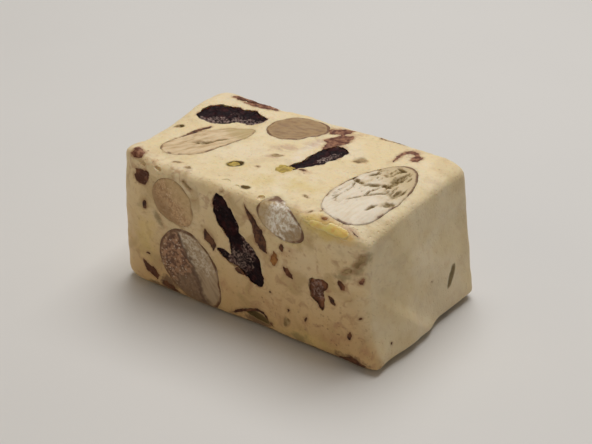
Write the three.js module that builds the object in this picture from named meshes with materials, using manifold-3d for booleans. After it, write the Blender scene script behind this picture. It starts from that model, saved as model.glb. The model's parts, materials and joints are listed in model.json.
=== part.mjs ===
// A piece of soft nougat, cut by knife from a thick slab: a cream block set with whole roasted
// almonds, dried cranberries and candied peel. Lengths are millimetres and +Z is up.
// X runs the long way, between the slab's two smooth outer faces. The other four sides are cut
// faces, where the knife went through every nut and berry in its way.
import * as THREE from "three";
import Module from "manifold-3d";
import { mergeVertices } from "three/addons/utils/BufferGeometryUtils.js";

const wasm = await Module();
wasm.setup();

// Driving dimensions
const LENGTH = 52.5;
const DEPTH = 30;
const HEIGHT = 25.3;
const CUT_ROUND = 1.9; // how far a cut edge is rounded over
const END_ROUND = 4.4; // the same along X, at the two smooth ends
const GAP = 0.3; // clear space between the nougat and what is set in it
const NUT_PROUD = 0.12; // a firm nut stands this far out of a cut face
const BERRY_SUNK = 0.15; // a soft berry sits this far below it
const FOOT_SUNK = 0.25; // everything on the underside keeps this clear of the table

const HALF = new THREE.Vector3(LENGTH / 2, DEPTH / 2, HEIGHT / 2);
const FLAT_STEPS = [16, 9, 8]; // the surface grid's steps over each flat side, along X, Y and Z
const ROUND_STEPS = [3, 2, 2]; // and over each rounded edge

// How far each corner of the piece sits from the corner of a true box
const CORNER_SHIFTS = [
  { corner: [-1, -1, 1], shift: [1.2, -0.4, 0.1] },
  { corner: [1, -1, 1], shift: [-0.1, -0.4, 0] },
  { corner: [1, 1, 1], shift: [-1.7, 0.3, -0.2] },
  { corner: [-1, 1, 1], shift: [-0.8, 0, 0.2] },
  { corner: [-1, -1, -1], shift: [-0.4, 0.5, 0] },
  { corner: [1, -1, -1], shift: [0.1, -0.1, 0] },
  { corner: [1, 1, -1], shift: [1.6, 0.4, 0] },
  { corner: [-1, 1, -1], shift: [-0.7, 0.2, 0] },
];

// Soft swells and hollows of the surface: place, reach and height along the outward normal
const SWELLS = [
  { at: [1, -15, 25], reach: 8, lift: -0.9 }, // the long top edge sags where it was pressed
  { at: [25, -9, 6], reach: 7, lift: 0.7 }, // the smooth end bulges low down
  { at: [26, 3, 17], reach: 6, lift: -0.35 },
  { at: [-25, 8, 24], reach: 5, lift: 0.6 },
  { at: [3, -15, 4], reach: 5, lift: -0.4 },
  { at: [10, 15, 14], reach: 8, lift: 0.4 },
  { at: [-12, 15, 20], reach: 6, lift: -0.4 },
  { at: [-26, -4, 9], reach: 7, lift: 0.4 },
];

// Each face's own directions: u to the right and v upwards as one looks at it, n outwards
const FACES = {
  top: { u: [1, 0, 0], v: [0, 1, 0], n: [0, 0, 1] },
  bottom: { u: [1, 0, 0], v: [0, -1, 0], n: [0, 0, -1] },
  front: { u: [1, 0, 0], v: [0, 0, 1], n: [0, -1, 0] },
  back: { u: [-1, 0, 0], v: [0, 0, 1], n: [0, 1, 0] },
  right: { u: [0, 1, 0], v: [0, 0, 1], n: [1, 0, 0] },
  left: { u: [0, -1, 0], v: [0, 0, 1], n: [-1, 0, 0] },
};

// Almonds. "at" is a place on the face in the part's own coordinates, along u and v without sign:
// x and y on the top and bottom, x and z on the front and back, y and z on the ends.
// "turn" is the long axis's angle on the face, "dip" how steeply it dives in, "roll" its turn
// about itself, and "sink" the depth of its middle. "cleft" is the split between its two halves,
// as a length and an angle on the face.
const ALMONDS = [
  {
    name: "almond_top_right",
    place: { face: "top", at: [17.7, -2.6], turn: 86, dip: 0, roll: 0, sink: 1.1 },
    size: [22.4, 11.6, 8.4],
    cleft: [15, 82],
  },
  {
    name: "almond_top_left",
    place: { face: "top", at: [-15.1, -3.2], turn: 63, dip: 0, roll: 90, sink: 1.9 },
    size: [18.8, 11.4, 8.4],
    cleft: [12, 60],
  },
  {
    name: "almond_top_back",
    place: { face: "top", at: [-3.4, 9.0], turn: 25, dip: 24, roll: 40, sink: 3.0 },
    size: [15.4, 10.4, 8.0],
    cleft: [7, 28],
  },
  {
    name: "almond_top_edge",
    place: { face: "front", at: [7.9, 20.4], turn: -90, dip: 65, roll: 0, sink: 4.6 },
    size: [19, 10.2, 7.8],
    cleft: [7, 4],
  },
  {
    name: "almond_front_upper",
    place: { face: "front", at: [-13.7, 18.5], turn: -38, dip: 52, roll: 0, sink: 2.3 },
    size: [11.4, 7.6, 6.6],
    cleft: [5.5, -38],
  },
  {
    name: "almond_front_lower",
    place: { face: "front", at: [-10.5, 7.0], turn: -50, dip: 0, roll: 0, sink: 1.0 },
    size: [15.6, 12.2, 7.6],
    cleft: [10, -60],
  },
  {
    name: "almond_back_right",
    place: { face: "back", at: [14.2, 10.5], turn: 148, dip: 0, roll: 0, sink: 1.0 },
    size: [22.4, 12.0, 8.2],
    cleft: [14, 150],
  },
  {
    name: "almond_back_middle",
    place: { face: "back", at: [-6.2, 9.4], turn: 200, dip: 60, roll: 10, sink: 4.2 },
    size: [19, 11.2, 8.0],
    cleft: [6.5, 100],
  },
  {
    name: "almond_back_left",
    place: { face: "back", at: [-19.6, 13.6], turn: 76, dip: 8, roll: 84, sink: 1.6 },
    size: [18.4, 9.4, 7.4],
    cleft: [10, 78],
  },
  {
    name: "almond_bottom_left",
    place: { face: "bottom", at: [-12.6, 1.2], turn: 24, dip: 0, roll: 0, sink: 0.9 },
    size: [21.6, 11.8, 7.4],
    cleft: [13, 20],
  },
  {
    name: "almond_bottom_middle",
    place: { face: "bottom", at: [9.4, -6.6], turn: -14, dip: 0, roll: 90, sink: 1.4 },
    size: [20.4, 10.4, 7.8],
    cleft: [12, -14],
  },
  {
    name: "almond_bottom_right",
    place: { face: "bottom", at: [18.2, 6.4], turn: 120, dip: 50, roll: 0, sink: 3.0 },
    size: [15.4, 10.6, 7.8],
    cleft: [6, 30],
  },
];

// Dried cranberries: lobes that run into each other
const CRANBERRIES = [
  {
    name: "cranberry_top_left",
    face: "top",
    lobes: [
      { at: [-19.8, 5.6], turn: 34, sink: 0.9, size: [8.0, 6.8, 6] },
      { at: [-15.6, 7.8], turn: 20, sink: 1.1, size: [7.2, 5.6, 5.4] },
    ],
  },
  {
    name: "cranberry_top_back",
    face: "top",
    lobes: [{ at: [-16.4, 14.2], turn: 12, sink: 0.8, size: [8, 4.4, 4.6] }],
  },
  {
    name: "cranberry_top_middle",
    face: "top",
    lobes: [
      { at: [3.4, 3.2], turn: 84, sink: 0.6, size: [14.6, 3.8, 5] },
      { at: [5.0, 6.0], turn: 70, sink: 1.0, size: [6.4, 5.2, 5] },
    ],
  },
  {
    name: "cranberry_front_middle",
    face: "front",
    lobes: [
      { at: [-2.8, 19.4], turn: -62, sink: 0.8, size: [8.6, 3.2, 4.6] },
      { at: [1.2, 13.2], turn: -56, sink: 1.0, size: [11, 5.4, 5.4] },
      { at: [-2.6, 12.2], turn: -25, sink: 0.4, size: [5, 1.8, 2.6] },
    ],
  },
  {
    name: "cranberry_front_right",
    face: "front",
    lobes: [
      { at: [15.2, 12.4], turn: 20, sink: 0.4, size: [4.2, 3.2, 2.8] },
      { at: [15.8, 10.2], turn: -78, sink: 0.4, size: [5, 1.8, 2.4] },
    ],
  },
  {
    name: "cranberry_back_middle",
    face: "back",
    lobes: [
      { at: [6.6, 17.6], turn: 140, sink: 0.9, size: [9.4, 5.2, 5.4] },
      { at: [10.4, 20.6], turn: 170, sink: 0.8, size: [6, 4, 4.4] },
    ],
  },
  {
    name: "cranberry_back_right",
    face: "back",
    lobes: [{ at: [20.4, 3.5], turn: 152, sink: 0.8, size: [6.8, 3.6, 3.8] }],
  },
  {
    name: "cranberry_back_foot",
    face: "back",
    lobes: [{ at: [0.6, 4.4], turn: 110, sink: 0.7, size: [6.4, 3.2, 4.0] }],
  },
  {
    name: "cranberry_bottom_middle",
    face: "bottom",
    lobes: [
      { at: [0.6, 8.2], turn: -20, sink: 0.7, size: [9.4, 5.4, 5] },
      { at: [5.0, 10.4], turn: -44, sink: 0.7, size: [5.4, 3.8, 4] },
    ],
  },
  {
    name: "cranberry_bottom_left",
    face: "bottom",
    lobes: [{ at: [-20.4, -8.6], turn: 62, sink: 0.8, size: [7.8, 4.8, 4.6] }],
  },
];

// Candied peel: thin strips
const PEELS = [
  {
    name: "peel_front_edge",
    face: "front",
    lobes: [{ at: [17.2, 22.9], turn: 0, sink: 0.35, size: [7.6, 1.7, 2.0] }],
  },
  {
    name: "peel_back",
    face: "back",
    lobes: [{ at: [-12.2, 20.2], turn: 160, sink: 0.3, size: [5.4, 2.2, 2.2] }],
  },
];

const CRUMB_STANDS = 0.35; // how far a crumb stands out of the surface
const CRUMB_CLEAR = 1.3; // a drawn crumb keeps this far from a nut or berry
const SEED = 11;

// Crumbs of almond skin, berry and peel, fused to the nougat: place, angle, length and width
const CRUMBS = [
  { face: "top", at: [2.0, -4.6], turn: 20, size: [2.4, 1.5] },
  { face: "top", at: [-2.6, -1.6], turn: 0, size: [1.7, 1.2] },
  { face: "top", at: [10.2, 4.6], turn: 40, size: [1.9, 1.0] },
  { face: "top", at: [15.6, 11.2], turn: 30, size: [3.2, 0.9] },
  { face: "top", at: [-22.4, -12.6], turn: 20, size: [2.3, 1.9] },
  { face: "top", at: [10.2, 14.0], turn: 8, size: [4.4, 0.9] },
  { face: "front", at: [-20.6, 21.8], turn: 30, size: [2.5, 2.0] },
  { face: "front", at: [-19.9, 3.5], turn: -42, size: [3.6, 1.2] },
  { face: "front", at: [3.4, 17.2], turn: -52, size: [3.8, 1.3] },
  { face: "front", at: [9.2, 13.4], turn: -60, size: [2.1, 0.9] },
  { face: "front", at: [6.6, 14.8], turn: 80, size: [2.4, 1.0] },
  { face: "front", at: [20.0, 14.4], turn: -50, size: [2.0, 1.1] },
  { face: "front", at: [22.4, 16.6], turn: 48, size: [3.4, 1.0] },
  { face: "front", at: [18.0, 10.6], turn: -60, size: [1.8, 0.8] },
  { face: "front", at: [21.8, 2.6], turn: 8, size: [3.2, 1.4] },
  { face: "front", at: [-19.8, 16.6], turn: 80, size: [1.6, 0.8] },
];

// Faces whose crumbs are drawn at random, from the one seed
const DRAWN_CRUMBS = [
  { face: "back", count: 12 },
  { face: "left", count: 5 },
];

// Open bubbles and slits: place, angle, length, width and depth
const HOLES = [
  { face: "top", at: [-6.3, -7.4], turn: 55, size: [3.0, 1.7, 1.3] },
  { face: "top", at: [-22.6, -1.8], turn: 0, size: [1.3, 1.0, 0.8] },
  { face: "top", at: [-0.4, -12.4], turn: 20, size: [1.5, 1.0, 0.8] },
  { face: "right", at: [7.3, 7.6], turn: 54, size: [4.2, 1.3, 0.8] },
  { face: "front", at: [2.9, 2.5], turn: -10, size: [5.2, 1.3, 1.4] },
  { face: "back", at: [6.0, 21.4], turn: 20, size: [2.4, 1.4, 1.1] },
  { face: "back", at: [23.0, 5.4], turn: 70, size: [1.8, 1.1, 0.9] },
  { face: "left", at: [5.0, 14.0], turn: 64, size: [3.4, 1.1, 0.8] },
  { face: "left", at: [-7.0, 9.0], turn: 100, size: [2.2, 0.9, 0.7] },
];

const MATERIALS = {
  nougat: new THREE.MeshStandardMaterial({ color: 0xe8d8ae, roughness: 0.62, metalness: 0 }),
  almond: new THREE.MeshStandardMaterial({ color: 0xd9c29a, roughness: 0.7, metalness: 0 }),
  cranberry: new THREE.MeshStandardMaterial({ color: 0x33100f, roughness: 0.42, metalness: 0 }),
  peel: new THREE.MeshStandardMaterial({ color: 0xd9a83e, roughness: 0.45, metalness: 0 }),
};

// A repeatable random number from 0 to 1
function randomFrom(seed) {
  let state = seed;
  return () => {
    state = (state * 16807) % 2147483647;
    return state / 2147483647;
  };
}

// A closed geometry as a solid for joining and cutting
function solidOf(geometry) {
  geometry.deleteAttribute("normal");
  geometry.deleteAttribute("uv");
  const merged = mergeVertices(geometry, 1e-5);
  return new wasm.Manifold(
    new wasm.Mesh({
      numProp: 3,
      vertProperties: merged.attributes.position.array,
      triVerts: new Uint32Array(merged.index.array),
    }),
  );
}

// The largest body of a solid: cutting can leave a loose scrap
function largestBody(solid) {
  return solid.decompose().sort((a, b) => b.volume() - a.volume())[0];
}

function meshOf(name, solid, material) {
  const FLATNESS = 0.06; // triangles that lie this near one plane are joined
  const result = largestBody(solid.asOriginal().simplify(FLATNESS)).getMesh();
  const geometry = new THREE.BufferGeometry();
  geometry.setAttribute("position", new THREE.BufferAttribute(result.vertProperties, 3));
  geometry.setIndex(new THREE.BufferAttribute(result.triVerts, 1));
  geometry.computeVertexNormals();
  const mesh = new THREE.Mesh(geometry, material);
  mesh.name = name;
  return mesh;
}

// Slow waves in the surface of a piece cut by hand, in millimetres along the normal
function waves(p) {
  const BROAD = 0.2;
  const CLOSE = 0.1;
  const broad = Math.sin(0.23 * p.x + 0.9) * Math.cos(0.21 * p.y + 0.17 * p.z);
  const close = Math.sin(0.52 * p.x - 0.47 * p.y + 0.61 * p.z + 1.7);
  return BROAD * broad + CLOSE * close;
}

// How far the surface at p lies outside a smooth box; the underside stays flat
function swellAt(p) {
  const FLAT_FOOT = 3.5;
  let lift = waves(p);
  for (const swell of SWELLS) {
    const [x, y, z] = swell.at;
    const away = (p.x - x) ** 2 + (p.y - y) ** 2 + (p.z - z) ** 2;
    lift += swell.lift * Math.exp(-away / (swell.reach * swell.reach));
  }
  return lift * THREE.MathUtils.smoothstep(p.z, 0, FLAT_FOOT);
}

// The shift of the hand-cut piece's corners, spread over the box between them
function cornerShift(p) {
  const result = new THREE.Vector3();
  for (const { corner, shift } of CORNER_SHIFTS) {
    const share =
      (1 + (corner[0] * p.x) / HALF.x) *
      (1 + (corner[1] * p.y) / HALF.y) *
      (1 + (corner[2] * (p.z - HALF.z)) / HALF.z);
    result.addScaledVector(new THREE.Vector3(...shift), share / 8);
  }
  return result;
}

// One axis of the block's grid: even steps over the flat, and closer ones over each rounded edge
function gridLine(half, round, flatSteps, roundSteps) {
  const line = [];
  for (let i = roundSteps; i > 0; i--) {
    line.push(-half + round - round * Math.tan((Math.PI / 4) * (i / roundSteps)));
  }
  for (let i = 0; i <= flatSteps; i++) {
    line.push(-(half - round) + (2 * (half - round) * i) / flatSteps);
  }
  for (let i = 1; i <= roundSteps; i++) {
    line.push(half - round + round * Math.tan((Math.PI / 4) * (i / roundSteps)));
  }
  return line;
}

// The outside of the whole piece, set out by "proud" along its normals
function blockSolid(proud = 0) {
  const rounds = [END_ROUND, CUT_ROUND, CUT_ROUND];
  const lines = rounds.map((round, axis) =>
    gridLine(HALF.getComponent(axis), round, FLAT_STEPS[axis], ROUND_STEPS[axis]),
  );
  const steps = lines.map((line) => line.length - 1);
  const geometry = new THREE.BoxGeometry(1, 1, 1, ...steps);
  const position = geometry.getAttribute("position");
  const point = new THREE.Vector3();
  const normal = new THREE.Vector3();
  for (let i = 0; i < position.count; i++) {
    const q = [position.getX(i), position.getY(i), position.getZ(i)].map(
      (t, axis) => lines[axis][Math.round((t + 0.5) * steps[axis])],
    );
    const inner = q.map((value, axis) => {
      const reach = HALF.getComponent(axis) - rounds[axis];
      return THREE.MathUtils.clamp(value, -reach, reach);
    });
    normal.fromArray(q.map((value, axis) => (value - inner[axis]) / rounds[axis])).normalize();
    point.fromArray(inner.map((value, axis) => value + rounds[axis] * normal.getComponent(axis)));
    point.z += HALF.z;
    const out = swellAt(point) + proud;
    point.add(cornerShift(point)).addScaledVector(normal, out);
    position.setXYZ(i, point.x, point.y, point.z);
  }
  return solidOf(geometry);
}

// The point of the surface at a place on a face
function surfacePoint(face, [a, b]) {
  const { n } = FACES[face];
  const flat = {
    top: [a, b, HEIGHT],
    bottom: [a, b, 0],
    front: [a, -HALF.y, b],
    back: [a, HALF.y, b],
    right: [HALF.x, a, b],
    left: [-HALF.x, a, b],
  }[face];
  const point = new THREE.Vector3(...flat);
  const normal = new THREE.Vector3(...n);
  const out = swellAt(point) + cornerShift(point).dot(normal);
  return point.addScaledVector(normal, out);
}

// Where a piece lies: its X is the long axis, its Y the width and its Z the thickness
function placeMatrix({ face, at, turn = 0, dip = 0, roll = 0, sink = 0 }) {
  const { u, v, n } = FACES[face];
  const normal = new THREE.Vector3(...n);
  const basis = new THREE.Matrix4().makeBasis(
    new THREE.Vector3(...u),
    new THREE.Vector3(...v),
    normal,
  );
  const degrees = THREE.MathUtils.degToRad;
  const middle = surfacePoint(face, at).addScaledVector(normal, -sink);
  return new THREE.Matrix4()
    .setPosition(middle)
    .multiply(basis)
    .multiply(new THREE.Matrix4().makeRotationZ(degrees(turn)))
    .multiply(new THREE.Matrix4().makeRotationY(degrees(dip)))
    .multiply(new THREE.Matrix4().makeRotationX(degrees(roll)));
}

// A whole almond: an oval that narrows towards its tip
function almondSolid({ place, size }, grow = 0) {
  const TAPER = 0.2;
  const geometry = new THREE.SphereGeometry(1, 12, 9).rotateZ(-Math.PI / 2);
  const position = geometry.getAttribute("position");
  for (let i = 0; i < position.count; i++) {
    const x = position.getX(i);
    const narrow = 1 - TAPER * x;
    position.setXYZ(i, x, position.getY(i) * narrow, position.getZ(i) * narrow);
  }
  geometry.scale(size[0] / 2 + grow, size[1] / 2 + grow, size[2] / 2 + grow);
  geometry.applyMatrix4(placeMatrix(place));
  return solidOf(geometry);
}

// The split between an almond's halves, open a little where the knife crossed it
function cleftSolid({ place, cleft }) {
  const [length, turn] = cleft;
  const WIDE = 0.7;
  const DEEP = 1.1;
  const geometry = new THREE.SphereGeometry(1, 8, 6).rotateZ(-Math.PI / 2);
  geometry.scale(length / 2, WIDE / 2, DEEP);
  geometry.applyMatrix4(placeMatrix({ face: place.face, at: place.at, turn }));
  return solidOf(geometry);
}

// A lobe of dried fruit: a lumpy oval
function lobeSolid(face, { at, turn, sink, size }, grow = 0) {
  const LUMP = 0.09;
  const LARGE = 7; // a lobe this long gets finer faces
  const geometry = new THREE.IcosahedronGeometry(1, size[0] > LARGE ? 2 : 1);
  const position = geometry.getAttribute("position");
  const phase = at[0] + 2 * at[1];
  for (let i = 0; i < position.count; i++) {
    const [x, y, z] = [position.getX(i), position.getY(i), position.getZ(i)];
    const lump = 1 + LUMP * Math.sin(4 * x + 3 * y + phase) * Math.cos(3 * z - 2 * y + phase);
    position.setXYZ(i, x * lump, y * lump, z * lump);
  }
  geometry.scale(size[0] / 2 + grow, size[1] / 2 + grow, size[2] / 2 + grow);
  geometry.applyMatrix4(placeMatrix({ face, at, turn, sink }));
  return solidOf(geometry);
}

function fruitSolid({ face, lobes }, grow = 0) {
  return lobes.map((lobe) => lobeSolid(face, lobe, grow)).reduce((a, b) => a.add(b));
}

function crumbSolid({ face, at, turn, size }) {
  const geometry = new THREE.IcosahedronGeometry(1, 0);
  const DEEP = 1;
  geometry.scale(size[0] / 2, size[1] / 2, DEEP);
  geometry.applyMatrix4(placeMatrix({ face, at, turn, sink: DEEP - CRUMB_STANDS }));
  return solidOf(geometry);
}

function holeSolid({ face, at, turn, size }) {
  const geometry = new THREE.IcosahedronGeometry(1, 1);
  geometry.scale(size[0] / 2, size[1] / 2, size[2]);
  geometry.applyMatrix4(placeMatrix({ face, at, turn }));
  return solidOf(geometry);
}

// Crumbs drawn over a face, clear of its nuts, its berries and each other
function drawnCrumbs(random, taken) {
  const INSET = 4;
  const found = [];
  for (const { face, count } of DRAWN_CRUMBS) {
    const acrossX = face === "back";
    const half = acrossX ? HALF.x : HALF.y;
    for (let placed = 0, tries = 0; placed < count && tries < 400; tries++) {
      const at = [
        (2 * random() - 1) * (half - INSET),
        INSET + random() * (HEIGHT - 2 * INSET),
      ];
      const crumb = { face, at, turn: 180 * random(), size: [1.2 + 1.6 * random(), 0.9] };
      const spot = crumbSolid(crumb);
      if (taken.some((other) => spot.minGap(other, CRUMB_CLEAR) < CRUMB_CLEAR)) continue;
      taken.push(spot);
      found.push(spot);
      placed += 1;
    }
  }
  return found;
}

// What a piece keeps of itself: the part inside the block, a little proud or sunk, off the table
function trimmed(solid, cutter) {
  return solid.intersect(cutter).trimByPlane([0, 0, 1], FOOT_SUNK);
}

function makeNougat() {
  const group = new THREE.Group();
  const block = blockSolid();
  const nutCutter = blockSolid(NUT_PROUD);
  const berryCutter = blockSolid(-BERRY_SUNK);

  const pockets = [];
  for (const almond of ALMONDS) {
    const nut = trimmed(almondSolid(almond), nutCutter);
    group.add(meshOf(almond.name, nut.subtract(cleftSolid(almond)), MATERIALS.almond));
    pockets.push(almondSolid(almond, GAP));
  }
  for (const berry of CRANBERRIES) {
    const fruit = trimmed(fruitSolid(berry), berryCutter);
    group.add(meshOf(berry.name, fruit, MATERIALS.cranberry));
    pockets.push(fruitSolid(berry, GAP));
  }
  for (const peel of PEELS) {
    group.add(meshOf(peel.name, trimmed(fruitSolid(peel), nutCutter), MATERIALS.peel));
    pockets.push(fruitSolid(peel, GAP));
  }

  const holes = HOLES.map(holeSolid);
  const crumbs = CRUMBS.map(crumbSolid);
  const drawn = drawnCrumbs(randomFrom(SEED), [...pockets, ...holes]);
  let body = block;
  for (const crumb of [...crumbs, ...drawn]) body = body.add(crumb);
  for (const cutter of [...holes, ...pockets]) body = body.subtract(cutter);
  group.add(meshOf("nougat", body, MATERIALS.nougat));

  const box = new THREE.Box3().setFromObject(group);
  const middle = box.getCenter(new THREE.Vector3());
  group.position.set(-middle.x, -middle.y, -box.min.z);
  return group;
}

export default makeNougat();
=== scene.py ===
# %% [markdown]
# # A hand-cut piece of nougat
# This lesson dresses one piece of soft nougat: a cream block with whole almonds, dried cranberries
# and candied peel, cut from a slab with a knife. The solids that fix its size come first. Every
# piece made here then stands for one of them, with the surface that the real one has.

# %% Load the fixed frame
import json
import math

import bpy
import numpy as np
from mathutils import Euler, Matrix, Vector
from mathutils.bvhtree import BVHTree

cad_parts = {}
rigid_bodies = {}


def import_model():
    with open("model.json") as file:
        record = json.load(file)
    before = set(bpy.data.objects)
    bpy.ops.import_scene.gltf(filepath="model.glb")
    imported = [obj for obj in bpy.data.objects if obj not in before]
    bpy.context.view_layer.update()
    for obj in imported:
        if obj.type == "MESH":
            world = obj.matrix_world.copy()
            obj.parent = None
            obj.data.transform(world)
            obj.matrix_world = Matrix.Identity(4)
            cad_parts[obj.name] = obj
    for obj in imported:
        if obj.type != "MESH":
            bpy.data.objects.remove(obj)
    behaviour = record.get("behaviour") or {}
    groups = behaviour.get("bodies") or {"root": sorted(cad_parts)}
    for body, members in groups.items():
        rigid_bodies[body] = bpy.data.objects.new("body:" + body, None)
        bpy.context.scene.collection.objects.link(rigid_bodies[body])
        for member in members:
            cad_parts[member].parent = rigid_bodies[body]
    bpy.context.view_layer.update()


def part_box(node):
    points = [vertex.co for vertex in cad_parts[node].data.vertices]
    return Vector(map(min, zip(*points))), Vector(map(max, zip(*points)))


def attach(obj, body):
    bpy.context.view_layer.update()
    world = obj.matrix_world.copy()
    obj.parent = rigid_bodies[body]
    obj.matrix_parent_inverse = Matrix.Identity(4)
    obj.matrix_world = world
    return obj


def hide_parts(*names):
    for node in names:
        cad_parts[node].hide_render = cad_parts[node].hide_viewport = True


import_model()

MM = 0.001

# %% [markdown]
# ## Small helpers
# An operator works on whatever is selected, so each step first picks the one piece it is for.
# A modifier is applied at once, so that the next step works on real faces.

# %% Pick a piece, and apply a modifier to it


def pick(piece):
    bpy.ops.object.select_all(action="DESELECT")
    piece.select_set(True)
    bpy.context.view_layer.objects.active = piece


def modify(piece, kind, **settings):
    """Adds a modifier with these settings and applies it."""
    pick(piece)
    modifier = piece.modifiers.new(kind.lower(), kind)
    for name, value in settings.items():
        setattr(modifier, name, value)
    bpy.ops.object.modifier_apply(modifier=modifier.name)


def copy_of(piece, name):
    twin = piece.copy()
    twin.data = piece.data.copy()
    twin.name = name
    bpy.context.scene.collection.objects.link(twin)
    return twin


def discard(*pieces):
    for piece in pieces:
        bpy.data.objects.remove(piece)


def points_of(piece):
    """The piece's points as rows of x, y and z."""
    flat = np.empty(3 * len(piece.data.vertices))
    piece.data.vertices.foreach_get("co", flat)
    return flat.reshape(-1, 3)


def fade(values, start, end):
    """0 up to start, 1 from end, and a smooth rise between."""
    t = np.clip((values - start) / (end - start), 0, 1)
    return t * t * (3 - 2 * t)


def paint(piece, name, values):
    """Keeps one number for each point of the piece, for its finish to read."""
    layer = piece.data.attributes.new(name, "FLOAT", "POINT")
    layer.data.foreach_set("value", np.ascontiguousarray(values, dtype=np.float32))


def weigh(piece, name, values):
    """A vertex group: how strongly each point follows the next modifier."""
    group = piece.vertex_groups.new(name=name)
    for index, value in enumerate(values):
        if value > 0:
            group.add([index], float(value), "REPLACE")
    return group.name


# %% [markdown]
# ## Relief from a pattern
# Displace moves each point along its normal by what a pattern says there. Clouds give soft waves.
# A ridged pattern, cut off by a ramp, gives narrow cracks. An empty that is stretched along a nut
# stretches the pattern with it.

# %% Push a surface in and out by a pattern


def relief(piece, grain, height, group="", ramp=None, along=None, middle=0.5, **pattern):
    texture = bpy.data.textures.new("relief", "CLOUDS")
    texture.noise_scale = grain
    for name, value in pattern.items():
        setattr(texture, name, value)
    if ramp:
        texture.use_color_ramp = True
        for element, (position, level) in zip(texture.color_ramp.elements, ramp):
            element.position = position
            element.color = (level, level, level, 1)
    modify(
        piece,
        "DISPLACE",
        texture=texture,
        texture_coords="OBJECT" if along else "LOCAL",
        texture_coords_object=along,
        strength=height,
        mid_level=middle,
        vertex_group=group,
    )


# %% [markdown]
# ## The block
# The piece was cut from a slab: its two ends are the slab's smooth outer faces, softly rounded,
# and the other four sides are cuts with tighter edges. A cube is squeezed along X, its corners are
# moved to where the hand-held knife left them, and every edge gets one bevel. Stretching it back
# turns the bevel at the ends into the long soft one. Then the box gets an even skin of small faces.

# %% Model the block
LENGTH, DEPTH, HEIGHT = 52.5 * MM, 30 * MM, 25.3 * MM
CUT_ROUND, END_ROUND = 1.9 * MM, 4.4 * MM
SQUEEZE = CUT_ROUND / END_ROUND
FINE_FACE = 0.36 * MM

# Each corner's side along X, Y and Z, and its shift in mm.
CORNER_SHIFTS = [
    ((-1, -1, 1), (1.2, -0.4, 0.1)),
    ((1, -1, 1), (-1.1, -0.4, 0)),
    ((1, 1, 1), (-1.7, 0.3, -0.2)),
    ((-1, 1, 1), (-0.8, 0, 0.2)),
    ((-1, -1, -1), (-0.4, 0.5, 0)),
    ((1, -1, -1), (0.1, -0.1, 0)),
    ((1, 1, -1), (1.6, 0.4, 0)),
    ((-1, 1, -1), (-0.7, 0.2, 0)),
]


def select_points(piece, chosen):
    """Leaves edit mode's selection on the points that chosen(point) is true for."""
    pick(piece)
    bpy.ops.object.mode_set(mode="EDIT")
    bpy.ops.mesh.select_mode(type="VERT")
    bpy.ops.mesh.select_all(action="DESELECT")
    bpy.ops.object.mode_set(mode="OBJECT")
    for vertex in piece.data.vertices:
        vertex.select = chosen(vertex.co)
    bpy.ops.object.mode_set(mode="EDIT")


bpy.ops.object.select_all(action="DESELECT")
bpy.ops.mesh.primitive_cube_add(size=1, location=(0, 0, HEIGHT / 2))
block = bpy.context.object
block.name = "nougat_block"
block.scale = (LENGTH * SQUEEZE, DEPTH, HEIGHT)
bpy.ops.object.transform_apply(location=True, scale=True)

for corner, shift in CORNER_SHIFTS:
    place = Vector((corner[0] * LENGTH * SQUEEZE / 2, corner[1] * DEPTH / 2, HEIGHT * (1 + corner[2]) / 2))
    select_points(block, lambda point: (point - place).length < 2 * MM)
    bpy.ops.transform.translate(value=(shift[0] * SQUEEZE * MM, shift[1] * MM, shift[2] * MM))
    bpy.ops.object.mode_set(mode="OBJECT")

select_points(block, lambda point: True)
bpy.ops.mesh.bevel(offset=CUT_ROUND, segments=6, profile=0.5, affect="EDGES")
bpy.ops.mesh.select_all(action="SELECT")
bpy.ops.transform.resize(value=(1 / SQUEEZE, 1, 1), center_override=(0, 0, 0))
bpy.ops.object.mode_set(mode="OBJECT")
modify(block, "REMESH", mode="VOXEL", voxel_size=FINE_FACE)
print("block:", len(block.data.polygons), "faces,", [round(v / MM, 1) for v in block.dimensions], "mm")

# %% [markdown]
# ## Pressed and swollen places
# Soft nougat gives under the fingers and the knife. Proportional editing moves one point and lets
# its neighbours follow less and less, which is just how such a swell or dent looks.

# %% Swell and press the block
# The place, the reach and the move in mm, and how the pull fades.
SWELLS = [
    ((1, -15, 25), 14, (0, 0.62, -0.62), "SMOOTH"),
    ((26, -15, 25), 9, (-0.9, 0.6, -1.7), "SMOOTH"),
    ((-26, -15, 25), 9, (0.2, 0.5, 1.0), "SMOOTH"),
    ((26, -14.5, 12.5), 12, (-1.8, 0.3, 0), "SMOOTH"),
    ((26, -12, 4), 9, (0.4, 0, 0), "SPHERE"),
    ((27, -15, 1), 6, (1.2, -0.9, 0), "SHARP"),
    ((26, -15, 6.5), 9, (-1.0, 0.2, 0), "SMOOTH"),
    ((26, 3, 17), 11, (-0.4, 0, 0), "SMOOTH"),
    ((-25, 8, 24), 9, (-0.2, 0, 0.5), "SMOOTH"),
    ((3, -15, 4), 8, (0, 0.5, 0), "SMOOTH"),
    ((18, -15, 15), 9, (0, 0.25, 0), "SMOOTH"),
    ((10, 15, 14), 14, (0, 0.4, 0), "SMOOTH"),
    ((-12, 15, 20), 11, (0, -0.4, 0), "SMOOTH"),
    ((-26, -4, 9), 12, (-0.4, 0, 0), "SPHERE"),
]

for place, reach, move, falloff in SWELLS:
    spot = Vector(place) * MM
    points = points_of(block)
    nearest = int(np.argmin(((points - np.array(spot)) ** 2).sum(axis=1)))
    target = Vector(points[nearest])
    select_points(block, lambda point: (point - target).length < 0.01 * MM)
    bpy.ops.transform.translate(
        value=Vector(move) * MM,
        use_proportional_edit=True,
        proportional_edit_falloff=falloff,
        proportional_size=reach * MM,
    )
    bpy.ops.object.mode_set(mode="OBJECT")

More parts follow.
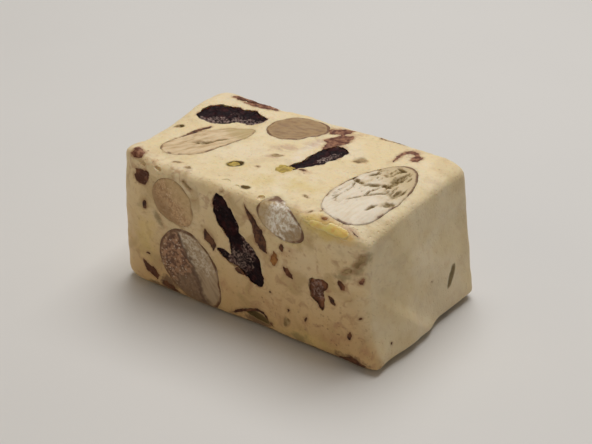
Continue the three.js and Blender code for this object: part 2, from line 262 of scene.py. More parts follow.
# The crease runs down the right end from the front edge: Y and Z in mm.
CREASE = [
    (-19, 22), (-16.6, 20.6), (-13.8, 17.1), (-10.2, 12.9), (-6.2, 8.9), (-2.8, 5.9), (1.8, 2.5), (6, 0)
]
ACROSS_CREASE = 0.7
BULGE = 0.95 * MM
points = points_of(block)
crease_at = np.interp(points[:, 1] / MM, *zip(*CREASE))
below = (crease_at - points[:, 2] / MM) * ACROSS_CREASE
on_the_end = fade(points[:, 0], 22.5 * MM, 25 * MM)
off_the_edge = fade(points[:, 1], -17 * MM, -12.5 * MM)
bulge = fade(below, -0.2, 2.2) * (1 - fade(below, 3.5, 12)) * on_the_end * off_the_edge
bulged = weigh(block, "bulge", bulge)
modify(block, "DISPLACE", direction="X", strength=BULGE, mid_level=0, vertex_group=bulged)
print("crease on the right end:", int((bulge > 0.5).sum()), "points pushed out")

FLAT_FOOT = (0.4 * MM, 3.5 * MM)
points = points_of(block)
off_table = weigh(block, "off_table", fade(points[:, 2], *FLAT_FOOT))
on_cuts = fade(points[:, 2], *FLAT_FOOT) * (1 - 0.7 * fade(abs(points[:, 0]), 22 * MM, 25 * MM))
cut_sides = weigh(block, "cut_sides", on_cuts)
relief(block, grain=8 * MM, height=0.8 * MM, group=off_table)
relief(block, grain=3.2 * MM, height=0.34 * MM, group=cut_sides)

low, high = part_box("nougat")
points = points_of(block)
SHIFT = Vector(((low.x + high.x) / 2, (low.y + high.y) / 2, 0)) - Vector(
    (points[:, 0].min() + points[:, 0].max(), points[:, 1].min() + points[:, 1].max(), 0)
) / 2
block.location = SHIFT
pick(block)
bpy.ops.object.transform_apply(location=True)
print("block moved by", [round(v / MM, 2) for v in SHIFT], "mm to the solids' middle")

# %% [markdown]
# ## Where a nut or berry lies
# Each one is named by the face it shows on, a place there, and three angles: its turn on the face,
# how steeply it dives in, and its roll about itself. A ray shot at the block finds the surface.

# %% Place a piece on a face of the block
FACES = {
    "top": ((1, 0, 0), (0, 1, 0), (0, 0, 1)),
    "bottom": ((1, 0, 0), (0, -1, 0), (0, 0, -1)),
    "front": ((1, 0, 0), (0, 0, 1), (0, -1, 0)),
    "back": ((-1, 0, 0), (0, 0, 1), (0, 1, 0)),
    "right": ((0, 1, 0), (0, 0, 1), (1, 0, 0)),
    "left": ((0, -1, 0), (0, 0, 1), (-1, 0, 0)),
}
block_tree = BVHTree.FromObject(block, bpy.context.evaluated_depsgraph_get())


def surface_point(face, at):
    """The block's surface at a place in mm: x and y, x and z, or y and z, as the face has them."""
    normal = Vector(FACES[face][2])
    kept = [axis for axis in range(3) if not normal[axis]]
    start = Vector((0, 0, HEIGHT / 2)) + normal * LENGTH
    for axis, value in zip(kept, at):
        start[axis] = value * MM + SHIFT[axis]
    return block_tree.ray_cast(start, -normal)[0]


def place_on(face, at, turn=0, dip=0, roll=0, sink=0):
    """The matrix that lays a piece there: X is its length, Y its width and Z its thickness."""
    across, up, normal = (Vector(axis) for axis in FACES[face])
    basis = Matrix((across, up, normal)).transposed().to_4x4()
    middle = surface_point(face, at) - normal * sink * MM
    turned = Matrix.Rotation(math.radians(turn), 4, "Z")
    dipped = Matrix.Rotation(math.radians(dip), 4, "Y")
    rolled = Matrix.Rotation(math.radians(roll), 4, "X")
    return Matrix.Translation(middle) @ basis @ turned @ dipped @ rolled


def settle(piece, matrix):
    """Puts the piece there and writes the place into its mesh."""
    piece.matrix_world = matrix
    pick(piece)
    bpy.ops.object.transform_apply(location=True, rotation=True, scale=True)


# %% [markdown]
# ## The almonds
# An almond starts as a ball, drawn out to its length, width and thickness and tapered to its tip.
# The knife went through it with the nougat, so what shows is a slice: the nut is cut by the block
# itself, a hair proud of it. The slice is then given faces fine enough for flakes and cracks.

# %% List the almonds: places and sizes in mm, angles in degrees
ALMONDS = {
    "almond_top_right": dict(face="top", at=(17.7, -2.6), turn=86, sink=1.1, size=(21.8, 11.1, 8.4)),
    "almond_top_left": dict(
        face="top", at=(-15.1, -3.2), turn=63, roll=90, sink=1.9, size=(18.6, 11.4, 7.2)
    ),
    "almond_top_back": dict(
        face="top", at=(-3.4, 9.0), turn=25, dip=24, roll=40, sink=3.0, size=(15.4, 10.4, 8.0)
    ),
    "almond_top_edge": dict(
        face="front", at=(8.4, 20.8), turn=-90, dip=70, roll=12, sink=5.0, size=(16.4, 11.2, 6.0)
    ),
    "almond_front_upper": dict(
        face="front", at=(-12.8, 18.3), turn=-46, dip=30, sink=1.5, size=(12.4, 8.2, 6.6)
    ),
    "almond_front_lower": dict(face="front", at=(-10.5, 7.0), turn=-50, sink=1.0, size=(15.6, 12.2, 7.6)),
    "almond_back_right": dict(face="back", at=(14.2, 10.5), turn=148, sink=1.0, size=(22.4, 12.0, 8.2)),
    "almond_back_middle": dict(
        face="back", at=(-6.2, 9.4), turn=200, dip=60, roll=10, sink=4.2, size=(19, 11.2, 8.0)
    ),
    "almond_back_left": dict(
        face="back", at=(-19.6, 13.6), turn=76, dip=8, roll=84, sink=1.6, size=(18.4, 9.4, 7.4)
    ),
    "almond_bottom_left": dict(face="bottom", at=(-12.6, 1.2), turn=24, sink=0.9, size=(21.6, 11.8, 7.4)),
    "almond_bottom_middle": dict(
        face="bottom", at=(9.4, -6.6), turn=-14, roll=90, sink=1.4, size=(20.4, 10.4, 7.8)
    ),
    "almond_bottom_right": dict(
        face="bottom", at=(18.2, 6.4), turn=120, dip=50, sink=3.0, size=(15.4, 10.6, 7.8)
    ),
}
TAPER = 0.2  # how much narrower the tip is than the middle
NUT_PROUD = 0.08 * MM  # how far a sliced nut stands out of the cut
NUT_FACE = 0.17 * MM
POCKET_GAP = 0.03 * MM
POCKET_FACES = 0.4  # the share of faces that a pocket keeps
FOOT_CLEAR = 0.25 * MM  # how far above the table the nuts and berries end


def almond_place(almond):
    return place_on(**{name: value for name, value in almond.items() if name != "size"})


def ball(subdivisions):
    """A ball of radius 1 in the middle, picked and ready to be shaped."""
    bpy.ops.object.select_all(action="DESELECT")
    bpy.ops.mesh.primitive_ico_sphere_add(subdivisions=subdivisions, radius=1)
    return bpy.context.object


def whole_almond(name, almond):
    nut = ball(5)
    nut.name = name
    nut.scale = Vector(almond["size"]) / 2 * MM
    bpy.ops.object.transform_apply(scale=True)
    modify(nut, "SIMPLE_DEFORM", deform_method="TAPER", deform_axis="X", factor=-2 * TAPER)
    relief(nut, grain=5 * MM, height=0.5 * MM)
    relief(nut, grain=1.6 * MM, height=0.16 * MM)
    settle(nut, almond_place(almond))
    return nut


# %% [markdown]
# ## The cutters
# The block, set out a little, trims the firm nuts. Set in a little, it trims the soft berries,
# which sink as they dry. Both are cut off just above the table, so that the nougat alone rests on it.

# %% Make the trimming shapes


def trimming_shape(name, out):
    shape = copy_of(block, name)
    shape.vertex_groups.clear()
    modify(shape, "DISPLACE", strength=out, mid_level=0)
    bpy.ops.object.select_all(action="DESELECT")
    bpy.ops.mesh.primitive_cube_add(size=4 * DEPTH, location=(0, 0, FOOT_CLEAR + 2 * DEPTH))
    room = bpy.context.object
    modify(shape, "BOOLEAN", operation="INTERSECT", object=room, solver="MANIFOLD")
    discard(room)
    return shape


BERRY_SUNK = -0.12 * MM
BIT_PROUD = 0.05 * MM
nut_trim = trimming_shape("nut_trim", NUT_PROUD)
berry_trim = trimming_shape("berry_trim", BERRY_SUNK)
bit_trim = trimming_shape("bit_trim", BIT_PROUD)


def trim(piece, shape, face_size):
    """Keeps what lies inside the shape, and gives it an even skin of small faces."""
    modify(piece, "BOOLEAN", operation="INTERSECT", object=shape, solver="MANIFOLD")
    modify(piece, "REMESH", mode="VOXEL", voxel_size=face_size)


def pocket_for(piece, gap=POCKET_GAP):
    """A copy set out by the gap, to cut the piece's place in the nougat."""
    pocket = copy_of(piece, "pocket")
    modify(pocket, "DECIMATE", ratio=POCKET_FACES)
    modify(pocket, "DISPLACE", strength=gap, mid_level=0)
    return pocket


# %% Cut every almond
pockets = []
nuts = {}
for name, almond in ALMONDS.items():
    nut = whole_almond("sliced_" + name, almond)
    pockets.append(pocket_for(nut))
    trim(nut, nut_trim, NUT_FACE)
    nuts[name] = nut
print("almond faces:", {name: len(nut.data.polygons) for name, nut in nuts.items()})

# %% [markdown]
# ## What the knife leaves on a nut
# A roasted almond is brittle. Where the blade goes along it, the kernel splits into long jagged
# fissures. Where it goes across, it crumbles to a grainy face, and the white dust stays on it. One
# nut has lost part of its skin, and the bare half is smooth with long streaks. The cracks are
# pressed into the cut face, and each point keeps how deep it went, so that the finish can darken it
# with a brown that is partly the kernel's own and partly painted shade in the cracks.

# %% Measure a nut in its own terms


def seen_from(place, points):
    """The points in that place's own axes."""
    back = np.array(place.inverted())
    return points @ back[:3, :3].T + back[:3, 3]


def nut_terms(points, almond):
    """The points in the nut's own half sizes, and their distance from its middle in these."""
    unit = seen_from(almond_place(almond), points) / (np.array(almond["size"]) / 2 * MM)
    unit[:, 1:] /= 1 - TAPER * unit[:, :1]
    return unit, np.linalg.norm(unit, axis=1)


def stretched_along(almond, stretch):
    """An empty laid along the nut. Patterns read from it are drawn out along the nut's length."""
    empty = bpy.data.objects.new("along", None)
    bpy.context.scene.collection.objects.link(empty)
    empty.matrix_world = almond_place(almond) @ Matrix.Diagonal((stretch, 1, 1, 1))
    bpy.context.view_layer.update()
    return empty


# %% Crack, crumble and dust the cut faces
CUT_FACE = (0.965, 0.90)  # the cut fades out towards the skin, which lies at 1
SPLIT_SLANT, SPLIT_OFF = 0.35, 0.06
DARKEST_CRACK = 0.3 * MM
LOOKS = {
    "almond_top_right": "cracked",
    "almond_top_left": "pale",
    "almond_top_back": "toasted",
    "almond_top_edge": "dusted",
    "almond_front_upper": "grainy",
    "almond_front_lower": "split",
    "almond_back_right": "cracked",
    "almond_back_middle": "grainy",
    "almond_back_left": "pale",
    "almond_bottom_left": "cracked",
    "almond_bottom_middle": "toasted",
    "almond_bottom_right": "dusted",
}
# The single deep clefts: place on the nut's face, turn, then length and width in mm.
CLEFTS = {
    "almond_top_right": [
        ((13.7, -1.1), -18, (4.4, 1.2)), ((16.7, -0.9), 33, (4.0, 1.4)),
        ((18.7, -0.2), -12, (2.2, 1.0)), ((19.2, 2.2), 94, (6.0, 1.9)),
        ((22.1, -5.0), 57, (3.8, 1.6)), ((18.6, -3.2), 42, (4.8, 0.8)),
        ((21.3, -1.4), 85, (3.8, 0.9)), ((20.4, -7.2), 70, (3.4, 0.8)),
        ((13.9, 3.4), 34, (3.8, 0.9)), ((15.0, 2.1), 57, (3.0, 0.7)),
        ((17.6, 6.0), -15, (3.2, 0.8)), ((16.2, -6.0), 60, (3.4, 0.5)),
    ],
    "almond_top_left": [((-15.6, -4.5), 30, (4.4, 1.3)), ((-13.6, -2.4), 54, (5.4, 0.7))],
    "almond_back_right": [((14.2, 11.5), 150, (7.0, 1.0)), ((12.0, 9.0), 146, (5.0, 0.6))],
    "almond_bottom_left": [((-12.0, 2.0), 22, (8.0, 1.0)), ((-9.0, 0.6), 28, (5.0, 0.6))],
}


def ellipse(points, face, at, turn, size, deep=1.6):
    """1 in the middle of an oval patch on a face, 0 at its rim, and below that outside."""
    local = seen_from(place_on(face, at, turn=turn), points)
    return 1 - np.linalg.norm(local / (np.array((size[0] / 2, size[1] / 2, deep)) * MM), axis=1)


def bite_deeper(nut, name):
    """Roughens the cut face as the nut's look asks, and keeps how deep each point went."""
    almond, look = ALMONDS[name], LOOKS[name]
    before = points_of(nut)
    unit, radius = nut_terms(before, almond)
    on_cut = fade(radius, *CUT_FACE)
    cut = weigh(nut, "cut", on_cut)
    if look == "cracked":
        where = stretched_along(almond, 3.2)
        fissured = fade(unit[:, 0] * 0.6 + unit[:, 1] * 0.25, -0.5, 0.1) * fade(radius, 0.93, 0.85)
        group = weigh(nut, "fissured", fissured)
        jagged = dict(along=where, middle=1, noise_type="HARD_NOISE", noise_depth=2)
        relief(nut, 1.5 * MM, 0.5 * MM, group, ramp=((0, 0), (0.2, 1)), **jagged)
        relief(nut, 0.8 * MM, 0.2 * MM, group, ramp=((0, 0), (0.14, 1)), **jagged)
        relief(nut, 0.7 * MM, 0.12 * MM, cut, along=where)
    elif look in ("pale", "toasted"):
        where = stretched_along(almond, 5)
        seams = dict(along=where, middle=1, noise_type="HARD_NOISE", noise_depth=1)
        deep = (0.18 if look == "pale" else 0.08) * MM
        relief(nut, 1.9 * MM, deep, cut, ramp=((0, 0), (0.08, 1)), **seams)
        relief(nut, 0.8 * MM, 0.07 * MM, cut, along=where)
    elif look in ("dusted", "grainy"):
        rough = (0.42 if look == "dusted" else 0.28) * MM
        relief(nut, 0.75 * MM, rough, cut, noise_depth=2)
    else:
        beyond = unit[:, 1] + SPLIT_SLANT * unit[:, 0] - SPLIT_OFF
        crumbs = fade(-beyond, -0.02, 0.12) * (1 - 0.8 * fade(unit[:, 0], -0.25, 0.15))
        crumbly = weigh(nut, "crumbly", on_cut * crumbs)
        streaked = weigh(nut, "streaked", on_cut * fade(beyond, -0.02, 0.12))
        relief(nut, 0.9 * MM, 0.6 * MM, crumbly, noise_depth=2)
        where = stretched_along(almond, 5)
        relief(nut, 0.7 * MM, 0.22 * MM, streaked, along=where, noise_depth=1)
    for at, turn, size in CLEFTS.get(name, []):
        inside = np.clip(1.5 * ellipse(before, almond["face"], at, turn, size), 0, 1)
        cleft = weigh(nut, "cleft", inside)
        relief(nut, 0.5 * MM, -0.8 * MM, cleft, middle=0)
    moved = np.linalg.norm(points_of(nut) - before, axis=1)
    paint(nut, "crack", np.clip(moved / DARKEST_CRACK, 0, 1) * fade(radius, 0.99, 0.95))
    nut.vertex_groups.clear()


for name, nut in nuts.items():
    bite_deeper(nut, name)
discard(*[empty for empty in bpy.data.objects if empty.name.startswith("along")])

# %% [markdown]
# ## The cranberries and the peel
# A dried cranberry is a crumpled bag of skin. A few balls are joined and remeshed into one lumpy
# body, with a coarse relief for its ragged outline, and trimmed by the block like the nuts.

# %% List and cut the soft fruit: a face, and the lobes' places, turns, depths and sizes in mm
BERRIES = {
    "cranberry_top_left": ("top", [
        ((-19.8, 5.8), 40, 0.9, (8.6, 7.2, 6)), ((-15.4, 7.6), 8, 1.1, (7.4, 5.4, 5.4)),
    ]),
    "cranberry_top_back": ("top", [((-16.4, 14.2), 12, 0.8, (8, 4.4, 4.6))]),
    "cranberry_top_middle": ("top", [
        ((3.9, 1.6), 76, 0.6, (12.2, 3.4, 5)), ((4.9, 4.6), 60, 1.0, (6.6, 5.0, 5)),
    ]),
    "cranberry_front_middle": ("front", [
        ((-2.7, 19.5), -64, 0.8, (8.8, 3.8, 4.6)), ((1.2, 13.2), -56, 1.0, (11, 5.4, 5.4)),
        ((-2.6, 12.4), -25, 0.4, (5, 1.8, 2.6)),
    ]),
    "cranberry_front_right": ("front", [
        ((15.7, 13.1), 24, 0.4, (4.0, 2.4, 2.8)), ((15.3, 11.9), -70, 0.4, (4.8, 2.6, 2.6)),
        ((15.9, 10.1), -76, 0.4, (3.6, 1.3, 2.2)),
    ]),
    "cranberry_back_middle": ("back", [
        ((6.6, 17.6), 140, 0.9, (9.4, 5.2, 5.4)), ((10.4, 20.6), 170, 0.8, (6, 4, 4.4)),
    ]),
    "cranberry_back_right": ("back", [((20.4, 3.5), 152, 0.8, (6.8, 3.6, 3.8))]),
    "cranberry_back_foot": ("back", [((0.6, 4.4), 110, 0.7, (6.4, 3.2, 4.0))]),
    "cranberry_bottom_middle": ("bottom", [
        ((0.6, 8.2), -20, 0.7, (9.4, 5.4, 5)), ((5.0, 10.4), -44, 0.7, (5.4, 3.8, 4)),
    ]),
    "cranberry_bottom_left": ("bottom", [((-20.4, -8.6), 62, 0.8, (7.8, 4.8, 4.6))]),
}
PEELS = {
    "peel_front_edge": ("front", [
        ((15.6, 24.2), -2, 0.2, (5.6, 1.3, 1.4)), ((18.9, 23.9), -6, 0.2, (4.8, 2.0, 1.8)),
    ]),
    "peel_back": ("back", [((-12.2, 20.2), 160, 0.3, (5.4, 2.2, 2.2))]),
}
LOBE_FACE = 0.3 * MM
FRUIT_FACE = 0.19 * MM
PEEL_GAP = -0.05 * MM


def joined(parts, name):
    """The parts as one piece of that name."""
    bpy.ops.object.select_all(action="DESELECT")
    for part in parts:
        part.select_set(True)
    bpy.context.view_layer.objects.active = parts[0]
    if len(parts) > 1:
        bpy.ops.object.join()
    parts[0].name = name
    return parts[0]


def oval(subdivisions, place, size):
    """A ball stretched to that size in mm and laid in that place."""
    made = ball(subdivisions)
    settle(made, place @ Matrix.Diagonal((*(Vector(size) / 2 * MM), 1)))
    return made


def fruit_body(name, face, lobes, raggedness):
    """The lobes as one closed, lumpy body."""
    ovals = [oval(5, place_on(face, at, turn=turn, sink=sink), size) for at, turn, sink, size in lobes]
    body = joined(ovals, name)
    modify(body, "REMESH", mode="VOXEL", voxel_size=LOBE_FACE)
    relief(body, grain=1.9 * MM, height=raggedness)
    relief(body, grain=0.8 * MM, height=0.5 * raggedness)
    return body


SUGARED = {
    "cranberry_top_left": [((-19.6, 3.2), 36, (10, 4.4)), ((-14.8, 6.0), 10, (9, 4.2))],
    "cranberry_top_middle": [((5.0, 3.0), 70, (7, 2.4))],
    "cranberry_front_middle": [((-0.9, 12.4), -50, (9, 4.6)), ((1.6, 14.6), -60, (6, 3.4))],
    "cranberry_front_right": [((15.6, 12.6), -70, (6, 3))],
    "cranberry_back_middle": [((8.6, 18.4), 150, (10, 4))],
    "cranberry_bottom_middle": [((2, 8.4), -20, (10, 4))],
}
UNSUGARED = -0.25

fruits = {}
for name, (face, lobes) in {**BERRIES, **PEELS}.items():
    berry = name in BERRIES
    body = fruit_body("dried_" + name, face, lobes, raggedness=(1.1 if berry else 0.9) * MM)
    pockets.append(pocket_for(body, POCKET_GAP if berry else PEEL_GAP))
    trim(body, berry_trim if berry else bit_trim, FRUIT_FACE)
    if berry:
        relief(body, grain=1.4 * MM, height=0.55 * MM)
        relief(body, grain=0.9 * MM, height=0.24 * MM, noise_type="HARD_NOISE", noise_depth=1)
        sugar = np.full(len(body.data.vertices), UNSUGARED)
        for patch in SUGARED.get(name, []):
            sugar = np.maximum(sugar, ellipse(points_of(body), face, *patch, deep=2))
        paint(body, "sugar", sugar)
    fruits[name] = body
print("fruit faces:", {name: len(body.data.polygons) for name, body in fruits.items()})

# %% [markdown]
# ## Crumbs, flakes and slivers
# Around the whole nuts lies what broke off them: flakes of brown skin, dark scraps of berry, tan
# crumbs and yellow zest. The knife cuts these flush too. Each is a small ball, flattened, made
# ragged and trimmed by the block. A skin that was cut on edge shows as a thin curved line, which is
# drawn as a curve with a thick and a thin end. All of one kind are joined into one piece.

# %% List the bits: face, then place, turn, length and width in mm


def spelled_out(table):
    """For each kind its rows as face, place, turn and size, from runs that share a face."""
    return {
        kind: [(face, row[:2], row[2], row[3:]) for face, rows in runs for row in rows]
        for kind, runs in table.items()
    }


BITS = spelled_out({
    "skin_flakes": [
        ("front", [
            # The flake at 22.0, 1.0 is partly painted shade: a dark bit where the front's bottom edge lies
            # in shadow.
            (4.3, 18.0, -60, 5.4, 2.3), (22.0, 1.0, 8, 5.0, 2.2), (18.2, 11.2, -60, 2.0, 1.0),
            (-20.0, 16.8, 80, 2.0, 1.1), (8.6, 17.8, 80, 1.6, 1.0), (21.5, 5.7, 80, 1.6, 0.9),
            (-5.9, 14.5, -62, 3.8, 2.0), (-0.4, 10.4, -30, 2.2, 1.2), (9.8, 6.4, 60, 0.8, 0.6),
            (6.0, 8.5, 0, 0.7, 0.5), (13.3, 6.2, 75, 1.7, 0.5), (23.1, 9.2, 20, 1.3, 0.6),
            (-20.2, 7.1, 0, 0.9, 0.5), (-15.9, 1.6, -20, 4.4, 1.4),
        ]),
        ("right", [(1.6, 9.2, 0, 0.5, 0.4), (-10.7, 4.0, 70, 0.7, 0.4)]),
        ("back", [(-16.6, 5.2, 60, 3.2, 1.2), (22.0, 19.6, 20, 2.2, 1.0), (2.4, 12.0, 100, 2.4, 0.8)]),
        ("left", [(-6.2, 4.6, 40, 2.4, 1.0)]),
        ("bottom", [(-2.4, -8.8, 15, 3.0, 1.1), (22.6, -6.0, 70, 2.4, 1.0)]),
    ],
    "berry_scraps": [
        ("front", [
            (-20.4, 22.3, 20, 4.0, 3.0), (-20.0, 3.8, -42, 4.4, 1.8), (9.9, 13.6, -52, 2.6, 1.3),
            (19.9, 14.6, -60, 2.2, 1.4),
        ]),
        ("top", [(-20.4, 12.6, 10, 2.6, 1.1), (4.4, -3.2, 10, 1.6, 0.6)]),
        ("back", [(-24.0, 5.6, 50, 2.6, 1.4), (16.4, 21.8, 10, 3.0, 1.2), (-2.6, 20.6, 75, 1.8, 0.9)]),
        ("left", [(9.0, 7.0, 110, 1.8, 0.9)]),
        ("bottom", [(-22.0, 5.4, 40, 3.0, 1.4), (12.6, 8.8, 0, 2.2, 1.2)]),
    ],
    "nut_crumbs": [
        ("top", [
            (-14.3, -12.7, 20, 1.7, 0.6), (-11.6, -13.2, 10, 1.2, 0.8), (-23.2, -2.0, 10, 1.3, 0.9),
            (13.3, -13.7, 60, 1.2, 0.5), (14.7, -12.7, 40, 0.9, 0.5), (-2.2, -1.4, 30, 1.9, 1.2),
            (-3.6, -14.6, 40, 1.0, 0.5),
        ]),
        ("front", [
            (-10.6, 23.6, -40, 2.4, 0.7), (23.2, 19.9, 50, 2.4, 1.3), (21.2, 17.6, 20, 2.4, 1.0),
        ]),
        ("top", [(9.9, -10.0, -20, 1.7, 0.6), (10.3, 4.7, 30, 2.4, 1.0), (-2.7, -6.1, 0, 0.8, 0.5)]),
        ("front", [(-10.0, 23.3, -38, 2.2, 0.6), (22.6, 18.9, 50, 1.8, 0.9), (9.1, 3.9, 80, 2.0, 1.4)]),
        ("back", [(24.2, 12.4, 30, 2.0, 1.2), (-20.2, 22.4, 0, 2.4, 1.0)]),
        ("left", [(2.4, 21.0, 20, 1.4, 0.8)]),
        ("bottom", [(1.6, 0.4, 30, 2.4, 1.2)]),
    ],
    "berry_smears": [
        ("top", [
            (-21.8, -14.2, 20, 3.0, 2.4), (-15.8, 12.6, 12, 7.0, 1.5), (3.2, 8.8, 70, 6.2, 3.8),
            (1.6, 12.0, 30, 5.0, 2.4), (17.3, 10.8, 64, 2.8, 1.7), (-20.6, 13.0, 12, 4.2, 1.6),
        ]),
        ("front", [(23.4, 16.2, 30, 1.8, 1.0)]),
        ("back", [(13.0, 15.8, 130, 4.2, 1.8), (-3.0, 6.0, 40, 3.4, 1.4)]),
        ("bottom", [(-3.4, 9.0, -10, 3.6, 1.6)]),
    ],
    "toffee_crumbs": [
        ("front", [(6.9, 15.2, 80, 2.9, 1.5)]),
        ("top", [(16.4, -14.2, 10, 1.4, 0.6)]),
        ("back", [(-8.8, 17.4, 30, 2.6, 1.4)]),
        ("left", [(-2.0, 6.4, 70, 1.8, 1.0)]),
        ("bottom", [(-8.4, 11.0, 10, 2.4, 1.4)]),
    ],
    "zest": [
        ("top", [(1.5, -4.3, 25, 3.3, 2.4), (-6.5, -7.6, 40, 2.3, 1.3)]),
        ("back", [(2.8, 8.2, 70, 2.2, 1.2)]),
    ],
})
# Each sliver's face, path, and half width at its start and end in mm.
SLIVERS = {
    "skin_flakes": [
        ("front", [(1.0, 23.2), (1.6, 22.0), (2.6, 20.7), (3.5, 19.3), (4.3, 18.1), (5.1, 16.6)], 0.3, 1.0),
        ("top", [(20.2, -13.2), (21.4, -13.6), (22.6, -13.5)], 0.24, 0.16),
        ("top", [(6.8, 14.4), (8.4, 13.6), (10.2, 13.6), (12.0, 14.1), (13.8, 14.7)], 0.16, 0.20),
        ("top", [(-20.2, -7.4), (-19.8, -5.2), (-19.2, -3.0), (-18.6, -1.0), (-18.0, 1.0)], 0.20, 0.62),
        ("front", [(-3.4, 0.6), (-1.6, 2.0), (0.7, 2.9), (2.6, 3.6), (4.2, 3.6), (6.1, 1.7)], 0.34, 0.30),
        ("back", [(-2.0, 23.0), (-4.0, 21.8), (-5.4, 19.6)], 0.16, 0.34),
        ("back", [(19.0, 8.0), (21.2, 9.2), (23.6, 9.0)], 0.14, 0.28),
        ("left", [(-10.0, 16.0), (-7.6, 17.4), (-5.0, 17.2)], 0.14, 0.26),
        ("bottom", [(4.0, 4.0), (6.6, 5.2), (9.4, 4.8)], 0.16, 0.30),
    ],
    "berry_smears": [
        ("top", [
            (14.9, 7.6), (14.5, 9.6), (14.7, 11.8), (15.8, 12.8), (17.2, 12.0), (18.1, 9.9)
        ], 0.34, 0.54),
    ],
    "nougat_curls": [
        ("top", [(-5.2, -13.3), (-4.6, -12.3), (-3.7, -12.0), (-3.2, -12.6)], 0.16, 0.20),
        ("top", [(-2.5, -13.2), (-2.0, -12.5), (-1.1, -12.8), (-0.6, -13.3)], 0.18, 0.14),
        ("top", [(18.0, -14.9), (19.6, -15.0), (21.2, -14.6)], 0.10, 0.14),
        ("back", [(9.0, 2.6), (10.6, 3.0), (12.0, 2.4)], 0.14, 0.20),
    ],
}
BIT_FACE = 0.13 * MM


def bit(face, at, turn, size, seed):
    """An angular chip that lies in the surface, half in and half out."""
    flake = ball(2)
    bpy.ops.object.mode_set(mode="EDIT")
    bpy.ops.transform.vertex_random(offset=0.35, uniform=1, normal=0, seed=seed)
    bpy.ops.object.mode_set(mode="OBJECT")
    length, width = size
    halves = Vector((length, width, max(0.5, 0.7 * width))) / 2 * MM
    settle(flake, place_on(face, at, turn=turn) @ Matrix.Diagonal((*halves, 1)))
    return flake


def sliver(face, path, first, last):
    """A thin curve over the surface, from the first to the last half width, pointed at both ends."""
    bpy.ops.object.select_all(action="DESELECT")
    bpy.ops.curve.primitive_nurbs_path_add()
    line = bpy.context.object
    line.data.splines.clear()
    spline = line.data.splines.new("NURBS")
    spline.points.add(len(path) - 1)
    for index, (point, at) in enumerate(zip(spline.points, path)):
        share = index / (len(path) - 1)
        point.co = (*surface_point(face, at), 1)
        point.radius = first + (last - first) * share
    spline.points[0].radius *= 0.3
    spline.points[-1].radius *= 0.4
    spline.order_u = 3
    spline.use_endpoint_u = True
    line.data.bevel_depth = MM
    line.data.use_fill_caps = True
    bpy.ops.object.convert(target="MESH")
    return bpy.context.object


bits = {}
for kind in (*BITS, "nougat_curls"):
    parts = [bit(*entry, seed) for seed, entry in enumerate(BITS.get(kind, []))]
    parts += [sliver(*entry) for entry in SLIVERS.get(kind, [])]
    scraps = joined(parts, kind)
    modify(scraps, "REMESH", mode="VOXEL", voxel_size=BIT_FACE)
    relief(scraps, grain=0.5 * MM, height=(0.12 if kind == "nougat_curls" else 0.35) * MM, noise_depth=2)
    if kind != "nougat_curls":
        trim(scraps, bit_trim, BIT_FACE)
        relief(scraps, grain=0.6 * MM, height=0.1 * MM)
    bits[kind] = scraps
    print(kind, "from", len(parts), "parts:", len(scraps.data.polygons), "faces")

# %% [markdown]
# ## Bubbles, slits and pockets
# Whipped nougat holds a few open bubbles and slits. They are cut out of the block together with
# the pockets that the nuts and berries sit in, in one boolean on a collection.

# %% Cut the nougat: holes by face, place, turn, and their length, width and depth in mm
HOLES = [
    ("top", (-6.3, -7.4), 55, (3.0, 1.7, 1.3)),
    ("top", (-22.6, -1.8), 0, (1.3, 1.0, 0.8)),
    ("top", (-0.4, -12.4), 20, (1.5, 1.0, 0.8)),
    ("right", (7.3, 7.6), 54, (4.2, 1.3, 0.8)),
    ("front", (2.9, 2.5), -10, (5.2, 1.3, 1.4)),
    ("back", (6.0, 21.4), 20, (2.4, 1.4, 1.1)),
    ("back", (23.0, 5.4), 70, (1.8, 1.1, 0.9)),
    ("left", (5.0, 14.0), 64, (3.4, 1.1, 0.8)),
    ("left", (-7.0, 9.0), 100, (2.2, 0.9, 0.7)),
]
# Nicks along the top and bottom edges: a face, from where to where, the height, and how many.
NICKED_EDGES = [
    ("front", -22, 24, 0.6, 9),
    ("back", -23, 23, 0.6, 8),
    ("right", -12, 12, 0.6, 3),
    ("left", -12, 12, 0.6, 4),
    ("front", -22, 24, 24.6, 4),
    ("back", -22, 22, 24.4, 5),
]

nicks = []
draw = np.random.default_rng(11)
for face, first, last, level, count in NICKED_EDGES:
    for place in draw.uniform(first, last, count):
        size = (draw.uniform(1.2, 3.4), draw.uniform(0.5, 1.0), draw.uniform(0.3, 0.6))
        nicks.append((face, (place, level), draw.uniform(-12, 12), size))

bubbles = []
for face, at, turn, (length, width, depth) in HOLES + nicks:
    bubble = oval(3, place_on(face, at, turn=turn), (length, width, 2 * depth))
    relief(bubble, grain=0.8 * MM, height=0.3 * MM)
    bubbles.append(bubble)
pockets += bubbles

cutters = bpy.data.collections.new("cutters")
bpy.context.scene.collection.children.link(cutters)
for pocket in pockets:
    cutters.objects.link(pocket)

relief(block, grain=1.1 * MM, height=0.12 * MM, group=cut_sides, noise_depth=2)
modify(
    block,
    "BOOLEAN",
    operation="DIFFERENCE",
    operand_type="COLLECTION",
    collection=cutters,
    solver="MANIFOLD",
)
print("nougat:", len(block.data.polygons), "faces after the pockets are cut")

# %% [markdown]
# ## A quick way to write shader maths
# A finish is a small tree of nodes. This class wraps a socket, so that sums and products of masks
# can be written as plain Python.

# %% Shader maths as expressions


